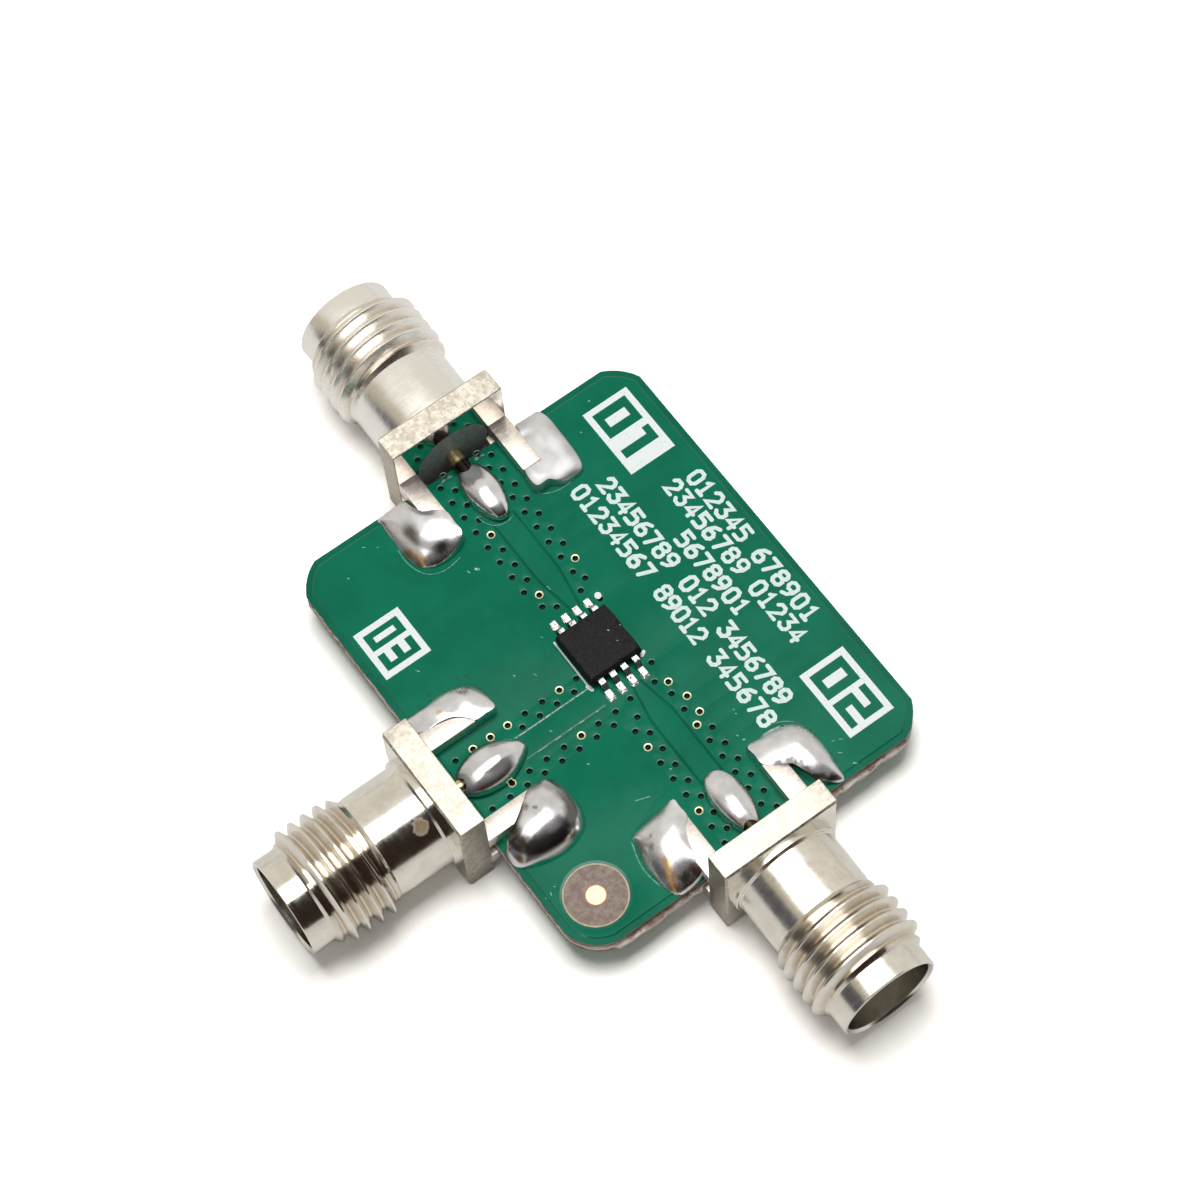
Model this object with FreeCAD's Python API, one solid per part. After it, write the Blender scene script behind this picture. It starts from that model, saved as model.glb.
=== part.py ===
import FreeCAD, Part
import math
import os

# Frequency mixer module: a small circuit board with a mixer chip in its middle and three screw-on
# coaxial jacks soldered to its edges. Millimetres, +Z up.
# +X runs from the LO jack to the RF jack, and the IF jack points along -Y. The module stands on the
# flanges of its jacks, and the origin is the centre of its outline on the surface it stands on.
# Pieces are shaped in the board's own coordinates, with Z = 0 at its underside, and moved when saved.

os.makedirs("parts", exist_ok=True)

V = FreeCAD.Vector
ALONG_X = V(1, 0, 0)
ALONG_Y = V(0, 1, 0)
UP = V(0, 0, 1)

# Board blank
board_length = 24.4
board_width = 19.84
board_thickness = 1.0
corner_reach = 1.4
corner_bulge = 0.18
marked_corner_reach = 1.75
marked_corner_bulge = 0.38

# Copper and lacquer on the board's top
foil_step = 0.05
line_width = 1.06
line_gap = 0.14
line_tip_width = 0.34
cross_line_y = 0.08
lo_taper_length = 2.25
rf_taper_length = 2.03
if_line_start_y = -1.76

# Positioning mark: a bare ring of laminate round a copper dot
mark_from_right = 2.4
mark_from_front = 2.22
mark_diameter = 3.14
mark_dot_diameter = 1.05
mark_dot_thickness = 0.035

# Plated holes that fence the signal lines
via_diameter = 0.3
via_sides = 6
via_pitch = 1.0
via_near_row = 1.0
via_far_row = 1.51
lo_far_first_x = 4.7
lo_near_first_x = 4.17
rf_far_first_x = 4.32
rf_near_first_x = 3.79
if_fence_x = 1.95
if_far_first_y = 2.05
if_left_near_first_y = 2.55
if_right_near_first_y = 1.58
if_left_near_count = 4
if_right_near_count = 7
chip_side_vias = [
    (-3.56, 1.36),
    (-3.56, -1.17),
    (-3.15, 0.8),
    (-3.15, -0.62),
    (-2.24, 1.28),
    (1.92, 1.27),
    (2.82, 0.79),
    (2.82, -0.63),
    (3.2, 1.32),
]

# Jack body: a square flange, four legs behind it, and a round barrel in front
flange_size = 6.35
flange_thickness = 1.4
flange_edge = 0.1
collar_diameter = 5.75
collar_length = 0.35
neck_diameter = 5.35
neck_length = 3.2
thread_diameter = 6.25
thread_length = 3.7
thread_bevel = 0.4
nose_diameter = 5.12
nose_length = 1.15
socket_diameter = 4.6
socket_depth = 1.9
socket_bevel = 0.12
leg_width = 1.05
leg_height = 0.85
leg_length = 3.0
board_play = 0.1

# Jack insulator and centre contact
insulator_diameter = 4.1
contact_diameter = 1.27
contact_bore_diameter = 0.94
contact_bore_depth = 2.6
contact_slot_width = 0.2
contact_slot_depth = 2.1
contact_recess = 0.1
contact_shoulder = 2.0
pin_diameter = 0.8
pin_length = 3.1
press_clearance = 0.01

# Where the jacks stand
lo_axis_y = 0.03
rf_axis_y = -0.06
if_axis_x = 1.81
lo_edge_gap = 0.48
rf_edge_gap = 0.31
if_edge_gap = 0.34

# Solder on the jacks' legs and pins
leg_solder_width = 2.9
leg_solder_length = 3.9
leg_solder_round = 1.9
leg_solder_round_facets = 4
leg_solder_shoulder_inset = 0.16
leg_solder_shoulder_share = 0.62
leg_solder_crown_inset = 0.62
leg_solder_under_height = 1.0
pin_solder_radius = 0.82
pin_solder_height = 1.06
pin_solder_foot = 0.3
pin_solder_facets = 8
pin_solder_shoulder_length = 0.8
pin_solder_tip_radius = 0.52
pin_solder_tip_height = 0.5
pin_solder_tip_foot = 0.2
pin_solder_slit = 0.4
lo_pin_solder_inset = 0.6
lo_pin_solder_length = 3.0
rf_pin_solder_inset = 0.4
rf_pin_solder_length = 3.65
if_pin_solder_inset = 0.15
if_pin_solder_length = 3.75
lo_rear_solder_height = 0.62
lo_front_solder_height = 0.98
rf_rear_solder_height = 0.98
rf_front_solder_height = 1.08
if_left_solder_height = 0.98
if_right_solder_height = 1.3

# Mixer chip: a moulded package with four leads on each of two sides
chip_x = -0.12
chip_y = -0.32
chip_size = 3.0
chip_height = 0.85
chip_standoff = 0.1
chip_draft = 0.1
chip_parting = 0.4
lead_pitch = 0.65
lead_span = 4.9
lead_width = 0.3
lead_thickness = 0.15
lead_foot = 0.55
lead_shoulder = 0.22
lead_inner = 0.5
lead_bend = 0.2
leads_per_side = 4
lead_solder_toe = 0.14
lead_solder_side = 0.06
lead_solder_height = 0.1

# Points closer than this are the same point
hair = 1e-6

board_top = board_thickness
half_length = board_length / 2
half_width = board_width / 2
axis_above_board = pin_diameter / 2
axis_height = board_top + axis_above_board
leg_inner_face = flange_size / 2 - leg_width
thread_start = flange_thickness + neck_length
nose_start = thread_start + thread_length
body_length = nose_start + nose_length
seat_depth = body_length - socket_depth
mark_x = half_length - mark_from_right
mark_y = mark_from_front - half_width

lo_end = -half_length - lo_edge_gap - body_length
rf_end = half_length + rf_edge_gap + body_length
if_end = -half_width - if_edge_gap - body_length
foot_height = axis_height - flange_size / 2
to_origin = V(-(lo_end + rf_end) / 2, -(if_end + half_width) / 2, -foot_height)


def save(name, shape):
    placed = shape.copy()
    placed.translate(to_origin)
    placed.exportStep("parts/" + name + ".step")


def box(x0, x1, y0, y1, z0, z1):
    return Part.makeBox(x1 - x0, y1 - y0, z1 - z0, V(x0, y0, z0))


def prism(points, z0, z1):
    corners = [V(x, y, z0) for x, y in points]
    face = Part.Face(Part.makePolygon(corners + corners[:1]))
    return face.extrude(V(0, 0, z1 - z0))


def rod(diameter, x0, x1):
    return Part.makeCylinder(diameter / 2, x1 - x0, V(x0, 0, 0), ALONG_X)


# Board
def corner_arc(sign_x, sign_y, reach, bulge):
    on_end = V(sign_x * half_length, sign_y * (half_width - reach), 0)
    on_side = V(sign_x * (half_length - reach), sign_y * half_width, 0)
    outward = V(sign_x, sign_y, 0).normalize()
    middle = (on_end + on_side) * 0.5 + outward * bulge
    return on_end, middle, on_side


def board_blank():
    right_back = corner_arc(1, 1, corner_reach, corner_bulge)
    left_back = corner_arc(-1, 1, corner_reach, corner_bulge)[::-1]
    left_front = corner_arc(-1, -1, corner_reach, corner_bulge)
    right_front = corner_arc(1, -1, marked_corner_reach, marked_corner_bulge)[::-1]
    corners = [right_back, left_back, left_front, right_front]
    edges = []
    for arc, following in zip(corners, corners[1:] + corners[:1]):
        edges.append(Part.Arc(*arc).toShape())
        edges.append(Part.LineSegment(arc[2], following[0]).toShape())
    face = Part.Face(Part.Wire(edges))
    return face.extrude(V(0, 0, board_thickness))


def via(x, y):
    turns = [2 * math.pi * step / via_sides for step in range(via_sides)]
    reach = via_diameter / 2
    return prism([(x + reach * math.cos(a), y + reach * math.sin(a)) for a in turns], 0, board_thickness)


def fence_row(first, last):
    count = int((last - first) / via_pitch) + 1
    return [first + step * via_pitch for step in range(count)]


def via_places():
    places = list(chip_side_vias)
    for side in (-1, 1):
        far_y = cross_line_y + side * via_far_row
        near_y = cross_line_y + side * via_near_row
        places += [(-x, far_y) for x in fence_row(lo_far_first_x, half_length)]
        places += [(-x, near_y) for x in fence_row(lo_near_first_x, half_length)]
        places += [(x, far_y) for x in fence_row(rf_far_first_x, half_length)]
        places += [(x, near_y) for x in fence_row(rf_near_first_x, half_length)]
        far_x = if_fence_x + side * via_far_row
        places += [(far_x, -y) for y in fence_row(if_far_first_y, half_width)]
    left_x = if_fence_x - via_near_row
    right_x = if_fence_x + via_near_row
    for step in range(if_left_near_count):
        places.append((left_x, -if_left_near_first_y - step * via_pitch))
    for step in range(if_right_near_count):
        places.append((right_x, -if_right_near_first_y - step * via_pitch))
    return places


def line_gaps():
    floor = board_top - foil_step
    pad_end = half_length - leg_solder_length
    tips = (
        (-1, chip_x - lead_span / 2, lo_taper_length),
        (1, chip_x + lead_span / 2, rf_taper_length),
    )
    gaps = []
    for direction, tip_x, taper in tips:
        taper_x = tip_x + direction * taper
        for side in (-1, 1):
            edge = cross_line_y + side * line_width / 2
            tip = cross_line_y + side * line_tip_width / 2
            outline = [
                (direction * pad_end, edge),
                (taper_x, edge),
                (tip_x, tip),
                (tip_x, tip + side * line_gap),
                (taper_x, edge + side * line_gap),
                (direction * pad_end, edge + side * line_gap),
            ]
            gaps.append(prism(outline, floor, board_top))
    for side in (-1, 1):
        near = if_axis_x + side * line_width / 2
        far = near + side * line_gap
        y0 = leg_solder_length - half_width
        gaps.append(box(min(near, far), max(near, far), y0, if_line_start_y, floor, board_top))
    return gaps


def make_board():
    cuts = [via(x, y) for x, y in via_places()]
    cuts += line_gaps()
    cuts.append(
        Part.makeCylinder(mark_diameter / 2, foil_step, V(mark_x, mark_y, board_top - foil_step), UP)
    )
    save("circuit_board", board_blank().cut(cuts))
    dot = Part.makeCylinder(
        mark_dot_diameter / 2, mark_dot_thickness, V(mark_x, mark_y, board_top - foil_step), UP
    )
    save("fiducial_dot", dot)


# Jacks, built with the axis along +X and the flange's rear face at X = 0
def jack_legs():
    upper_z = -axis_above_board
    lower_z = upper_z - board_thickness - board_play
    legs = []
    for side in (-1, 1):
        inner = side * leg_inner_face
        outer = side * flange_size / 2
        y0, y1 = min(inner, outer), max(inner, outer)
        legs.append(box(-leg_length, 0, y0, y1, upper_z, upper_z + leg_height))
        legs.append(box(-leg_length, 0, y0, y1, lower_z - leg_height, lower_z))
    return legs


def jack_barrel():
    neck = neck_diameter / 2
    crest = thread_diameter / 2
    nose = nose_diameter / 2
    profile = [
        (flange_thickness / 2, 0),
        (flange_thickness / 2, collar_diameter / 2),
        (flange_thickness + collar_length, collar_diameter / 2),
        (flange_thickness + collar_length, neck),
        (thread_start, neck),
        (thread_start + thread_bevel, crest),
        (nose_start - thread_bevel, crest),
        (nose_start, nose),
        (body_length, nose),
        (body_length, 0),
    ]
    points = [V(x, 0, r) for x, r in profile]
    face = Part.Face(Part.makePolygon(points + points[:1]))
    return face.revolve(V(0, 0, 0), ALONG_X, 360)


def jack_body():
    half = flange_size / 2
    flange = box(0, flange_thickness, -half, half, -half, half)
    front_edges = [e for e in flange.Edges if abs(e.CenterOfMass.x - flange_thickness) < hair]
    flange = flange.makeChamfer(flange_edge, front_edges)
    body = flange.fuse([jack_barrel()] + jack_legs()).removeSplitter()
    mouth = Part.makeCone(
        socket_diameter / 2,
        socket_diameter / 2 + socket_bevel,
        socket_bevel,
        V(body_length - socket_bevel, 0, 0),
        ALONG_X,
    )
    socket = rod(socket_diameter, seat_depth, body_length)
    seat = rod(insulator_diameter + 2 * press_clearance, 0, seat_depth)
    return body.cut([seat, socket, mouth])


def jack_insulator():
    shoulder = contact_shoulder
    rear = rod(pin_diameter + 2 * press_clearance, 0, shoulder)
    front = rod(contact_diameter + 2 * press_clearance, shoulder, seat_depth)
    return rod(insulator_diameter, 0, seat_depth).cut([rear, front])


def jack_contact():
    tip = seat_depth - contact_recess
    contact = rod(contact_diameter, contact_shoulder, tip)
    contact = contact.fuse(rod(pin_diameter, -pin_length, contact_shoulder)).removeSplitter()
    bore = rod(contact_bore_diameter, tip - contact_bore_depth, tip)
    reach = contact_diameter
    half_slot = contact_slot_width / 2
    slot = box(tip - contact_slot_depth, tip, -reach, reach, -half_slot, half_slot)
    return contact.cut([bore, slot])


def mound_wire(edge, end, near, far, inset, z):
    near = near + inset
    far = far - inset
    end = end + inset
    turn = leg_solder_round - inset
    points = [V(edge, near, z), V(end, near, z)]
    for step in range(leg_solder_round_facets + 1):
        angle = math.pi / 2 * step / leg_solder_round_facets
        points.append(V(end + turn * (1 - math.cos(angle)), far - turn * (1 - math.sin(angle)), z))
    points.append(V(edge, far, z))
    return Part.makePolygon(points + points[:1])


def leg_solder(edge_gap, side, height, under):
    near = leg_inner_face
    far = near + leg_solder_width
    edge = -edge_gap - press_clearance
    end = edge - leg_solder_length
    levels = (
        (0, 0),
        (leg_solder_shoulder_inset, leg_solder_shoulder_share * height),
        (leg_solder_crown_inset, height),
    )
    wires = [mound_wire(edge, end, near, far, inset, z) for inset, z in levels]
    mound = Part.makeLoft(wires, True, True)
    if under:
        mound = mound.mirror(V(0, 0, 0), UP)
        mound.translate(V(0, 0, -axis_above_board - board_thickness))
    else:
        mound.translate(V(0, 0, -axis_above_board))
    if side < 0:
        mound = mound.mirror(V(0, 0, 0), ALONG_Y)
    return mound.cut(jack_legs())


def bead_wire(x, radius, height, foot):
    points = []
    for step in range(pin_solder_facets + 1):
        angle = math.pi * step / pin_solder_facets
        points.append(V(x, radius * math.cos(angle), foot + (height - foot) * math.sin(angle)))
    points += [V(x, -radius, 0), V(x, radius, 0)]
    return Part.makePolygon(points + points[:1])


def pin_solder(edge_gap, inset, length):
    start = -edge_gap - inset
    end = start - length
    shoulder = pin_solder_shoulder_length
    tip = (pin_solder_tip_radius, pin_solder_tip_height, pin_solder_tip_foot)
    middle = (pin_solder_radius, pin_solder_height, pin_solder_foot)
    wires = [
        bead_wire(start, *tip),
        bead_wire(start - shoulder, *middle),
        bead_wire(end + shoulder, *middle),
        bead_wire(end, *tip),
    ]
    bead = Part.makeLoft(wires, True, True)
    bead.translate(V(0, 0, -axis_above_board))
    slit = pin_solder_slit / 2
    under_pin = box(-pin_length, 0, -slit, slit, -axis_above_board, 0)
    return bead.cut([rod(pin_diameter, -pin_length, 0), under_pin])


def make_jack(port, angle, x, y, edge_gap, bead, mounds):
    def place(shape):
        shape.rotate(V(0, 0, 0), UP, angle)
        shape.translate(V(x, y, axis_height))
        return shape

    save(port + "_jack_body", place(jack_body()))
    save(port + "_jack_insulator", place(jack_insulator()))
    save(port + "_jack_contact", place(jack_contact()))
    save(port + "_pin_solder", place(pin_solder(edge_gap, *bead)))
    for label, side, height in mounds:
        top = leg_solder(edge_gap, side, height, False)
        under = leg_solder(edge_gap, side, leg_solder_under_height, True)
        save(port + "_leg_solder_top_" + label, place(top))
        save(port + "_leg_solder_under_" + label, place(under))


# Mixer chip
def chip_lead(side, y):
    body_side = chip_size / 2
    toe = lead_span / 2
    heel = toe - lead_foot
    knee = body_side + lead_shoulder
    root = body_side - lead_inner
    low = board_top
    high = board_top + chip_standoff + chip_parting - lead_thickness / 2
    upper = lead_thickness
    miter = upper * math.tan(math.atan2(high - low, heel - knee) / 2)
    profile = [
        (toe, low),
        (toe, low + upper),
        (heel + miter, low + upper),
        (knee + miter, high + upper),
        (root, high + upper),
        (root, high),
        (knee, high),
        (heel, low),
    ]
    points = [V(chip_x + side * x, y - lead_width / 2, z) for x, z in profile]
    face = Part.Face(Part.makePolygon(points + points[:1]))
    lead = face.extrude(V(0, lead_width, 0))
    across = V(0, lead_width / 2, 0)
    bends = [points[3] + across, points[7] + across]
    outside = [e for e in lead.Edges if min((e.CenterOfMass - p).Length for p in bends) < hair]
    return lead.makeFillet(lead_bend, outside)


def lead_solder(side, y, lead):
    inner = lead_span / 2 - lead_foot + lead_bend
    outer = lead_span / 2 + lead_solder_toe
    half = lead_width / 2 + lead_solder_side
    x0 = chip_x + min(side * inner, side * outer)
    x1 = chip_x + max(side * inner, side * outer)
    shrink = lead_solder_side / 2
    base = [(x0, y - half), (x1, y - half), (x1, y + half), (x0, y + half)]
    top = [
        (x0 + shrink, y - half + shrink),
        (x1 - shrink, y - half + shrink),
        (x1 - shrink, y + half - shrink),
        (x0 + shrink, y + half - shrink),
    ]
    wires = []
    for points, z in ((base, board_top), (top, board_top + lead_solder_height)):
        corners = [V(px, py, z) for px, py in points]
        wires.append(Part.makePolygon(corners + corners[:1]))
    return Part.makeLoft(wires, True, True).cut(lead)


def chip_body(leads):
    half = chip_size / 2
    bottom = board_top + chip_standoff
    levels = (
        (bottom, half - chip_draft),
        (bottom + chip_parting, half),
        (bottom + chip_height, half - chip_draft),
    )
    wires = []
    for z, reach in levels:
        corners = [
            V(chip_x - reach, chip_y - reach, z),
            V(chip_x + reach, chip_y - reach, z),
            V(chip_x + reach, chip_y + reach, z),
            V(chip_x - reach, chip_y + reach, z),
        ]
        wires.append(Part.makePolygon(corners + corners[:1]))
    return Part.makeLoft(wires, True, True).cut(leads)


def make_chip():
    leads = []
    solder = []
    for side in (-1, 1):
        for step in range(leads_per_side):
            y = chip_y + (step - (leads_per_side - 1) / 2) * lead_pitch
            lead = chip_lead(side, y)
            leads.append(lead)
            solder.append(lead_solder(side, y, lead))
    save("chip_body", chip_body(leads))
    for number, lead in enumerate(leads, 1):
        save("chip_lead_%d" % number, lead)
    save("chip_lead_solder", Part.makeCompound(solder))


make_board()
make_jack(
    "lo", 180, -half_length - lo_edge_gap, lo_axis_y, lo_edge_gap,
    (lo_pin_solder_inset, lo_pin_solder_length),
    (("rear", -1, lo_rear_solder_height), ("front", 1, lo_front_solder_height)),
)
make_jack(
    "rf", 0, half_length + rf_edge_gap, rf_axis_y, rf_edge_gap,
    (rf_pin_solder_inset, rf_pin_solder_length),
    (("rear", 1, rf_rear_solder_height), ("front", -1, rf_front_solder_height)),
)
make_jack(
    "if", -90, if_axis_x, -half_width - if_edge_gap, if_edge_gap,
    (if_pin_solder_inset, if_pin_solder_length),
    (("left", -1, if_left_solder_height), ("right", 1, if_right_solder_height)),
)
make_chip()
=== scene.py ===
import math
import random

import bmesh
import bpy
from mathutils import Matrix, Vector, noise
from mathutils.geometry import delaunay_2d_cdt


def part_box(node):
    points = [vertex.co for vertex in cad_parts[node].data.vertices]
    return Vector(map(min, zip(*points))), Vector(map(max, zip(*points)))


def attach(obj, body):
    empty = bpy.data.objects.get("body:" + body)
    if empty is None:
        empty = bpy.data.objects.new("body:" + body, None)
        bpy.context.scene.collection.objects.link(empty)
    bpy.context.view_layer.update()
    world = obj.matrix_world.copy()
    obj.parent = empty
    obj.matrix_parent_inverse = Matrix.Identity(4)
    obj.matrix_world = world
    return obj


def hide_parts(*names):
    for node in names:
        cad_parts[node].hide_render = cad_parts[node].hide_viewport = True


# Looks of the frequency mixer module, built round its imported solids.
# Sizes are millimetres in board coordinates: X and Y from the middle of the board, Z from its top.
# Jack coordinates: X along the barrel from the flange's rear face, Y to the side and Z up.

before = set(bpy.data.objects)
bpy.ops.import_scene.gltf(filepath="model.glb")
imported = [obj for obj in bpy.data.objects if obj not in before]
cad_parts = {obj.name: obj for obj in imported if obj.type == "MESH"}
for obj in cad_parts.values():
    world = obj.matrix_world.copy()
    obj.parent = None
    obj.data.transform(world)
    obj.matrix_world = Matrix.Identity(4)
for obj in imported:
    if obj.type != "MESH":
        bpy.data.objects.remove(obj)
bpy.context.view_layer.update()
random.seed(11)
noise.seed_set(11)

MM = 0.001
board_low, board_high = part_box("circuit_board")
board_thickness = (board_high.z - board_low.z) / MM
half_length = (board_high.x - board_low.x) / MM / 2
half_width = (board_high.y - board_low.y) / MM / 2
board_origin = Vector(((board_low.x + board_high.x) / 2, (board_low.y + board_high.y) / 2, board_high.z))
on_board = Matrix.Translation(board_origin)

# Camera, as the photograph was taken
camera_sensor = 36
camera_lens = 109.26
camera_azimuth = 59.565
camera_elevation = 65.127
camera_roll = -6.121
camera_distance = 174.0
camera_target = (-2.187, 1.239, 0)

# Board outline and the relief of its copper under the lacquer
corner_reach = 1.4
corner_bulge = 0.18
marked_corner_reach = 1.75
marked_corner_bulge = 0.38
foil_step = 0.035
foil_inset = 0.3
foil_slope = 0.07
edge_step = 0.12

# Routed side of the board: how deep its layers lie inwards, and where and how it is torn
side_levels = 14
cut_depth = 0.06
cut_ripple = 0.03
torn_share = 0.5
torn_wander = 0.1
torn_depth = 0.02
torn_ripple = 0.06
ledge_reach = 0.17
ledge_wander = 0.12
ledge_ripple = 0.4

# Signal lines
line_width = 1.06
line_gap = 0.14
line_tip_width = 0.34
line_slope = 0.06
line_depth = 0.018
cross_line_y = 0.08
lo_taper_length = 2.25
rf_taper_length = 2.03
if_axis_x = 1.81
if_line_start_y = -1.76
if_line_end_y = -6.3
lo_line_end_x = -8.6
rf_line_end_x = 8.4

# Positioning mark
mark_x = 9.8
mark_y = -7.7
mark_radius = 1.57
mark_rim = 0.07
mark_slope = 0.12
mark_corners = 72

# Plated holes
via_pitch = 1.0
via_near_row = 1.0
via_far_row = 1.51
via_rim_radius = 0.2
via_wall_radius = 0.15
via_floor_radius = 0.09
via_depth = 0.16
via_rim_drop = 0.014
via_corners = 14
bare_ring_radius = 0.208
bare_match = 0.12
if_fence_x = 1.95
# Rows of plated holes beside the signal lines: where each starts and ends, and where it stands across
fence_rows_x = [
    (first, direction * half_length, cross_line_y + side * row)
    for direction, far_first, near_first in ((-1, -4.7, -4.17), (1, 4.32, 3.79))
    for first, row in ((far_first, via_far_row), (near_first, via_near_row))
    for side in (1, -1)
]
fence_rows_y = (
    (-2.05, -half_width, if_fence_x - via_far_row),
    (-2.05, -half_width, if_fence_x + via_far_row),
    (-2.55, -6.0, if_fence_x - via_near_row),
    (-1.58, -8.0, if_fence_x + via_near_row),
)
chip_side_vias = (
    (-3.56, 1.36), (-3.56, -1.17), (-3.15, 0.8), (-3.15, -0.62), (-2.24, 1.28),
    (1.92, 1.27), (2.82, 0.79), (2.82, -0.63), (3.2, 1.32),
)
bare_vias = (
    (-4.65, 1.6), (-8.12, -0.89), (-4.13, -0.9), (3.22, 1.31), (4.35, 1.57), (5.37, 1.56), (5.81, 1.07),
    (5.29, -1.46), (9.25, -1.46), (0.5, -3.05), (0.46, -6.05), (0.46, -7.1), (0.46, -8.1), (2.97, -3.56),
    (2.89, -7.63),
)

# Jack body
flange_reach = 3.175
flange_thickness = 1.4
flange_edge = 0.1
flange_rear_edge = 0.035
flange_corner = 0.06
collar_radius = 2.875
collar_length = 0.35
neck_radius = 2.675
neck_length = 3.2
thread_start = flange_thickness + neck_length
thread_radius = 3.125
thread_length = 3.7
thread_pitch = 0.7056
thread_depth = 0.43
nose_start = thread_start + thread_length
nose_radius = 2.56
nose_length = 1.15
socket_radius = 2.3
socket_depth = 1.9
mouth_bevel = 0.1
mouth_radius = socket_radius + mouth_bevel
insulator_radius = 2.05
leg_width = 1.05
leg_height = 0.85
leg_length = 3.0
leg_edge = 0.05
board_play = 0.1
pin_radius = 0.4
barrel_corners = 144
# One turn of the thread: how far along the pitch, and how deep as a share of the full depth
THREAD_PROFILE = (
    (0.0, 0.0), (0.06, 0.0), (0.1, 0.07), (0.37, 0.92), (0.42, 1.0),
    (0.58, 1.0), (0.63, 0.92), (0.9, 0.07), (0.94, 0.0),
)

# Mixer chip
chip_x = -0.12
chip_y = -0.32
chip_size = 3.0
chip_height = 0.85
chip_standoff = 0.1
lead_pitch = 0.65
lead_span = 4.9
lead_foot = 0.55

# Print and marks. Along a stroke each point stands a little higher, so that crossing strokes share no plane
print_height = 0.016
print_foot = -0.01
stroke_rise = 0.001
closing_gap = 0.08
digit_fill = 0.8
glint_height = 0.008
stroke_width = 0.2
row_height = 1.0
print_wander = 0.02
glint_width = 0.045
label_border = 0.33
label_gap = 0.3
block_columns = 3
block_rows = 5

# Angles beyond which edges stay sharp in shading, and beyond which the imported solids' edges are softened
board_sharp = 25
jack_sharp = 28
chip_sharp = 50
solder_sharp = 60
solid_sharp = 35
softened_angle = 40


# Meshes
def add_object(name, data):
    added = bpy.data.objects.new(name, data)
    bpy.context.scene.collection.objects.link(added)
    return added


def make_piece(name, points, faces, finishes, finish_of=None, place=on_board, sharp=0, weld=False):
    """Makes one piece from points in millimetres and rides it on the part. A sharp of 0 shades it flat."""
    mesh = bpy.data.meshes.new(name)
    mesh.from_pydata([Vector(p) * MM for p in points], [], faces)
    for finish in finishes:
        mesh.materials.append(finish)
    if finish_of:
        mesh.polygons.foreach_set("material_index", finish_of)
    shape = bmesh.new()
    shape.from_mesh(mesh)
    if weld:
        bmesh.ops.remove_doubles(shape, verts=shape.verts, dist=0.0005 * MM)
    bmesh.ops.recalc_face_normals(shape, faces=shape.faces)
    shape.to_mesh(mesh)
    shape.free()
    mesh.polygons.foreach_set("use_smooth", [sharp > 0] * len(mesh.polygons))
    if sharp:
        mesh.set_sharp_from_angle(angle=math.radians(sharp))
    piece = add_object(name, mesh)
    piece.matrix_world = place
    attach(piece, "root")
    return piece


def loft(rings, cap_start=False, cap_end=False, joined=False):
    """Skins rings that have the same number of points."""
    count = len(rings[0])
    points = [point for ring in rings for point in ring]
    faces = []
    for step in range(len(rings) if joined else len(rings) - 1):
        near = step * count
        far = (step + 1) % len(rings) * count
        for corner in range(count):
            after = (corner + 1) % count
            faces.append((near + corner, near + after, far + after, far + corner))
    if cap_start:
        faces.append(tuple(range(count)))
    if cap_end:
        faces.append(tuple(range(len(points) - count, len(points))))
    return points, faces


def lifted(flat, z):
    return Vector((flat.x, flat.y, z))


def below_board(points):
    """Points on the board's top, mirrored to its underside."""
    return [lifted(p, -board_thickness - p.z) for p in points]


def noise_at(place, scale, level):
    return noise.noise(lifted(place * scale, level))


def joined_parts(parts):
    """Joins parts of points, faces and a finish number, or one number for each face, into one mesh."""
    points = []
    faces = []
    finish_of = []
    for part_points, part_faces, finish in parts:
        start = len(points)
        points += part_points
        faces += [tuple(start + corner for corner in face) for face in part_faces]
        finish_of += finish if isinstance(finish, list) else [finish] * len(part_faces)
    return points, faces, finish_of


def bevelled_box(low, high, bevel):
    shape = bmesh.new()
    bmesh.ops.create_cube(shape, size=1)
    for vertex in shape.verts:
        vertex.co = Vector([low[k] + (vertex.co[k] + 0.5) * (high[k] - low[k]) for k in range(3)])
    bmesh.ops.bevel(shape, geom=list(shape.edges), offset=bevel, segments=2, affect="EDGES", profile=0.5)
    points = [vertex.co.copy() for vertex in shape.verts]
    faces = [tuple(vertex.index for vertex in face.verts) for face in shape.faces]
    shape.free()
    return points, faces


def curve_points(before, start, end, after, steps):
    """Points on a smooth curve from start to just short of end, which bends with the corners around them."""
    before, start, end, after = (Vector(corner) for corner in (before, start, end, after))
    points = []
    for step in range(steps):
        t = step / steps
        points.append(
            0.5 * (
                2 * start
                + (end - before) * t
                + (2 * before - 5 * start + 4 * end - after) * t**2
                + (3 * start - before - 3 * end + after) * t**3
            )
        )
    return points


def smooth_loop(corners, steps):
    """A closed curve through given corners."""
    count = len(corners)
    loop = []
    for k in range(count):
        loop += curve_points(*(corners[(k + shift) % count] for shift in (-1, 0, 1, 2)), steps)
    return loop


def smooth_line(corners, steps):
    """An open curve through given corners."""
    padded = [corners[0], *corners, corners[-1]]
    line = []
    for four in zip(padded, padded[1:], padded[2:], padded[3:]):
        line += curve_points(*four, steps)
    return line + [Vector(corners[-1])]


def offset_loop(loop, distance):
    """Moves a closed anticlockwise loop inwards."""
    moved = []
    for k, point in enumerate(loop):
        before = (point - loop[k - 1]).normalized()
        after = (loop[(k + 1) % len(loop)] - point).normalized()
        inward_before = Vector((-before.y, before.x))
        inward_after = Vector((-after.y, after.x))
        middle = (inward_before + inward_after).normalized()
        moved.append(point + middle * (distance / max(middle.dot(inward_after), 0.3)))
    return moved


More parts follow.
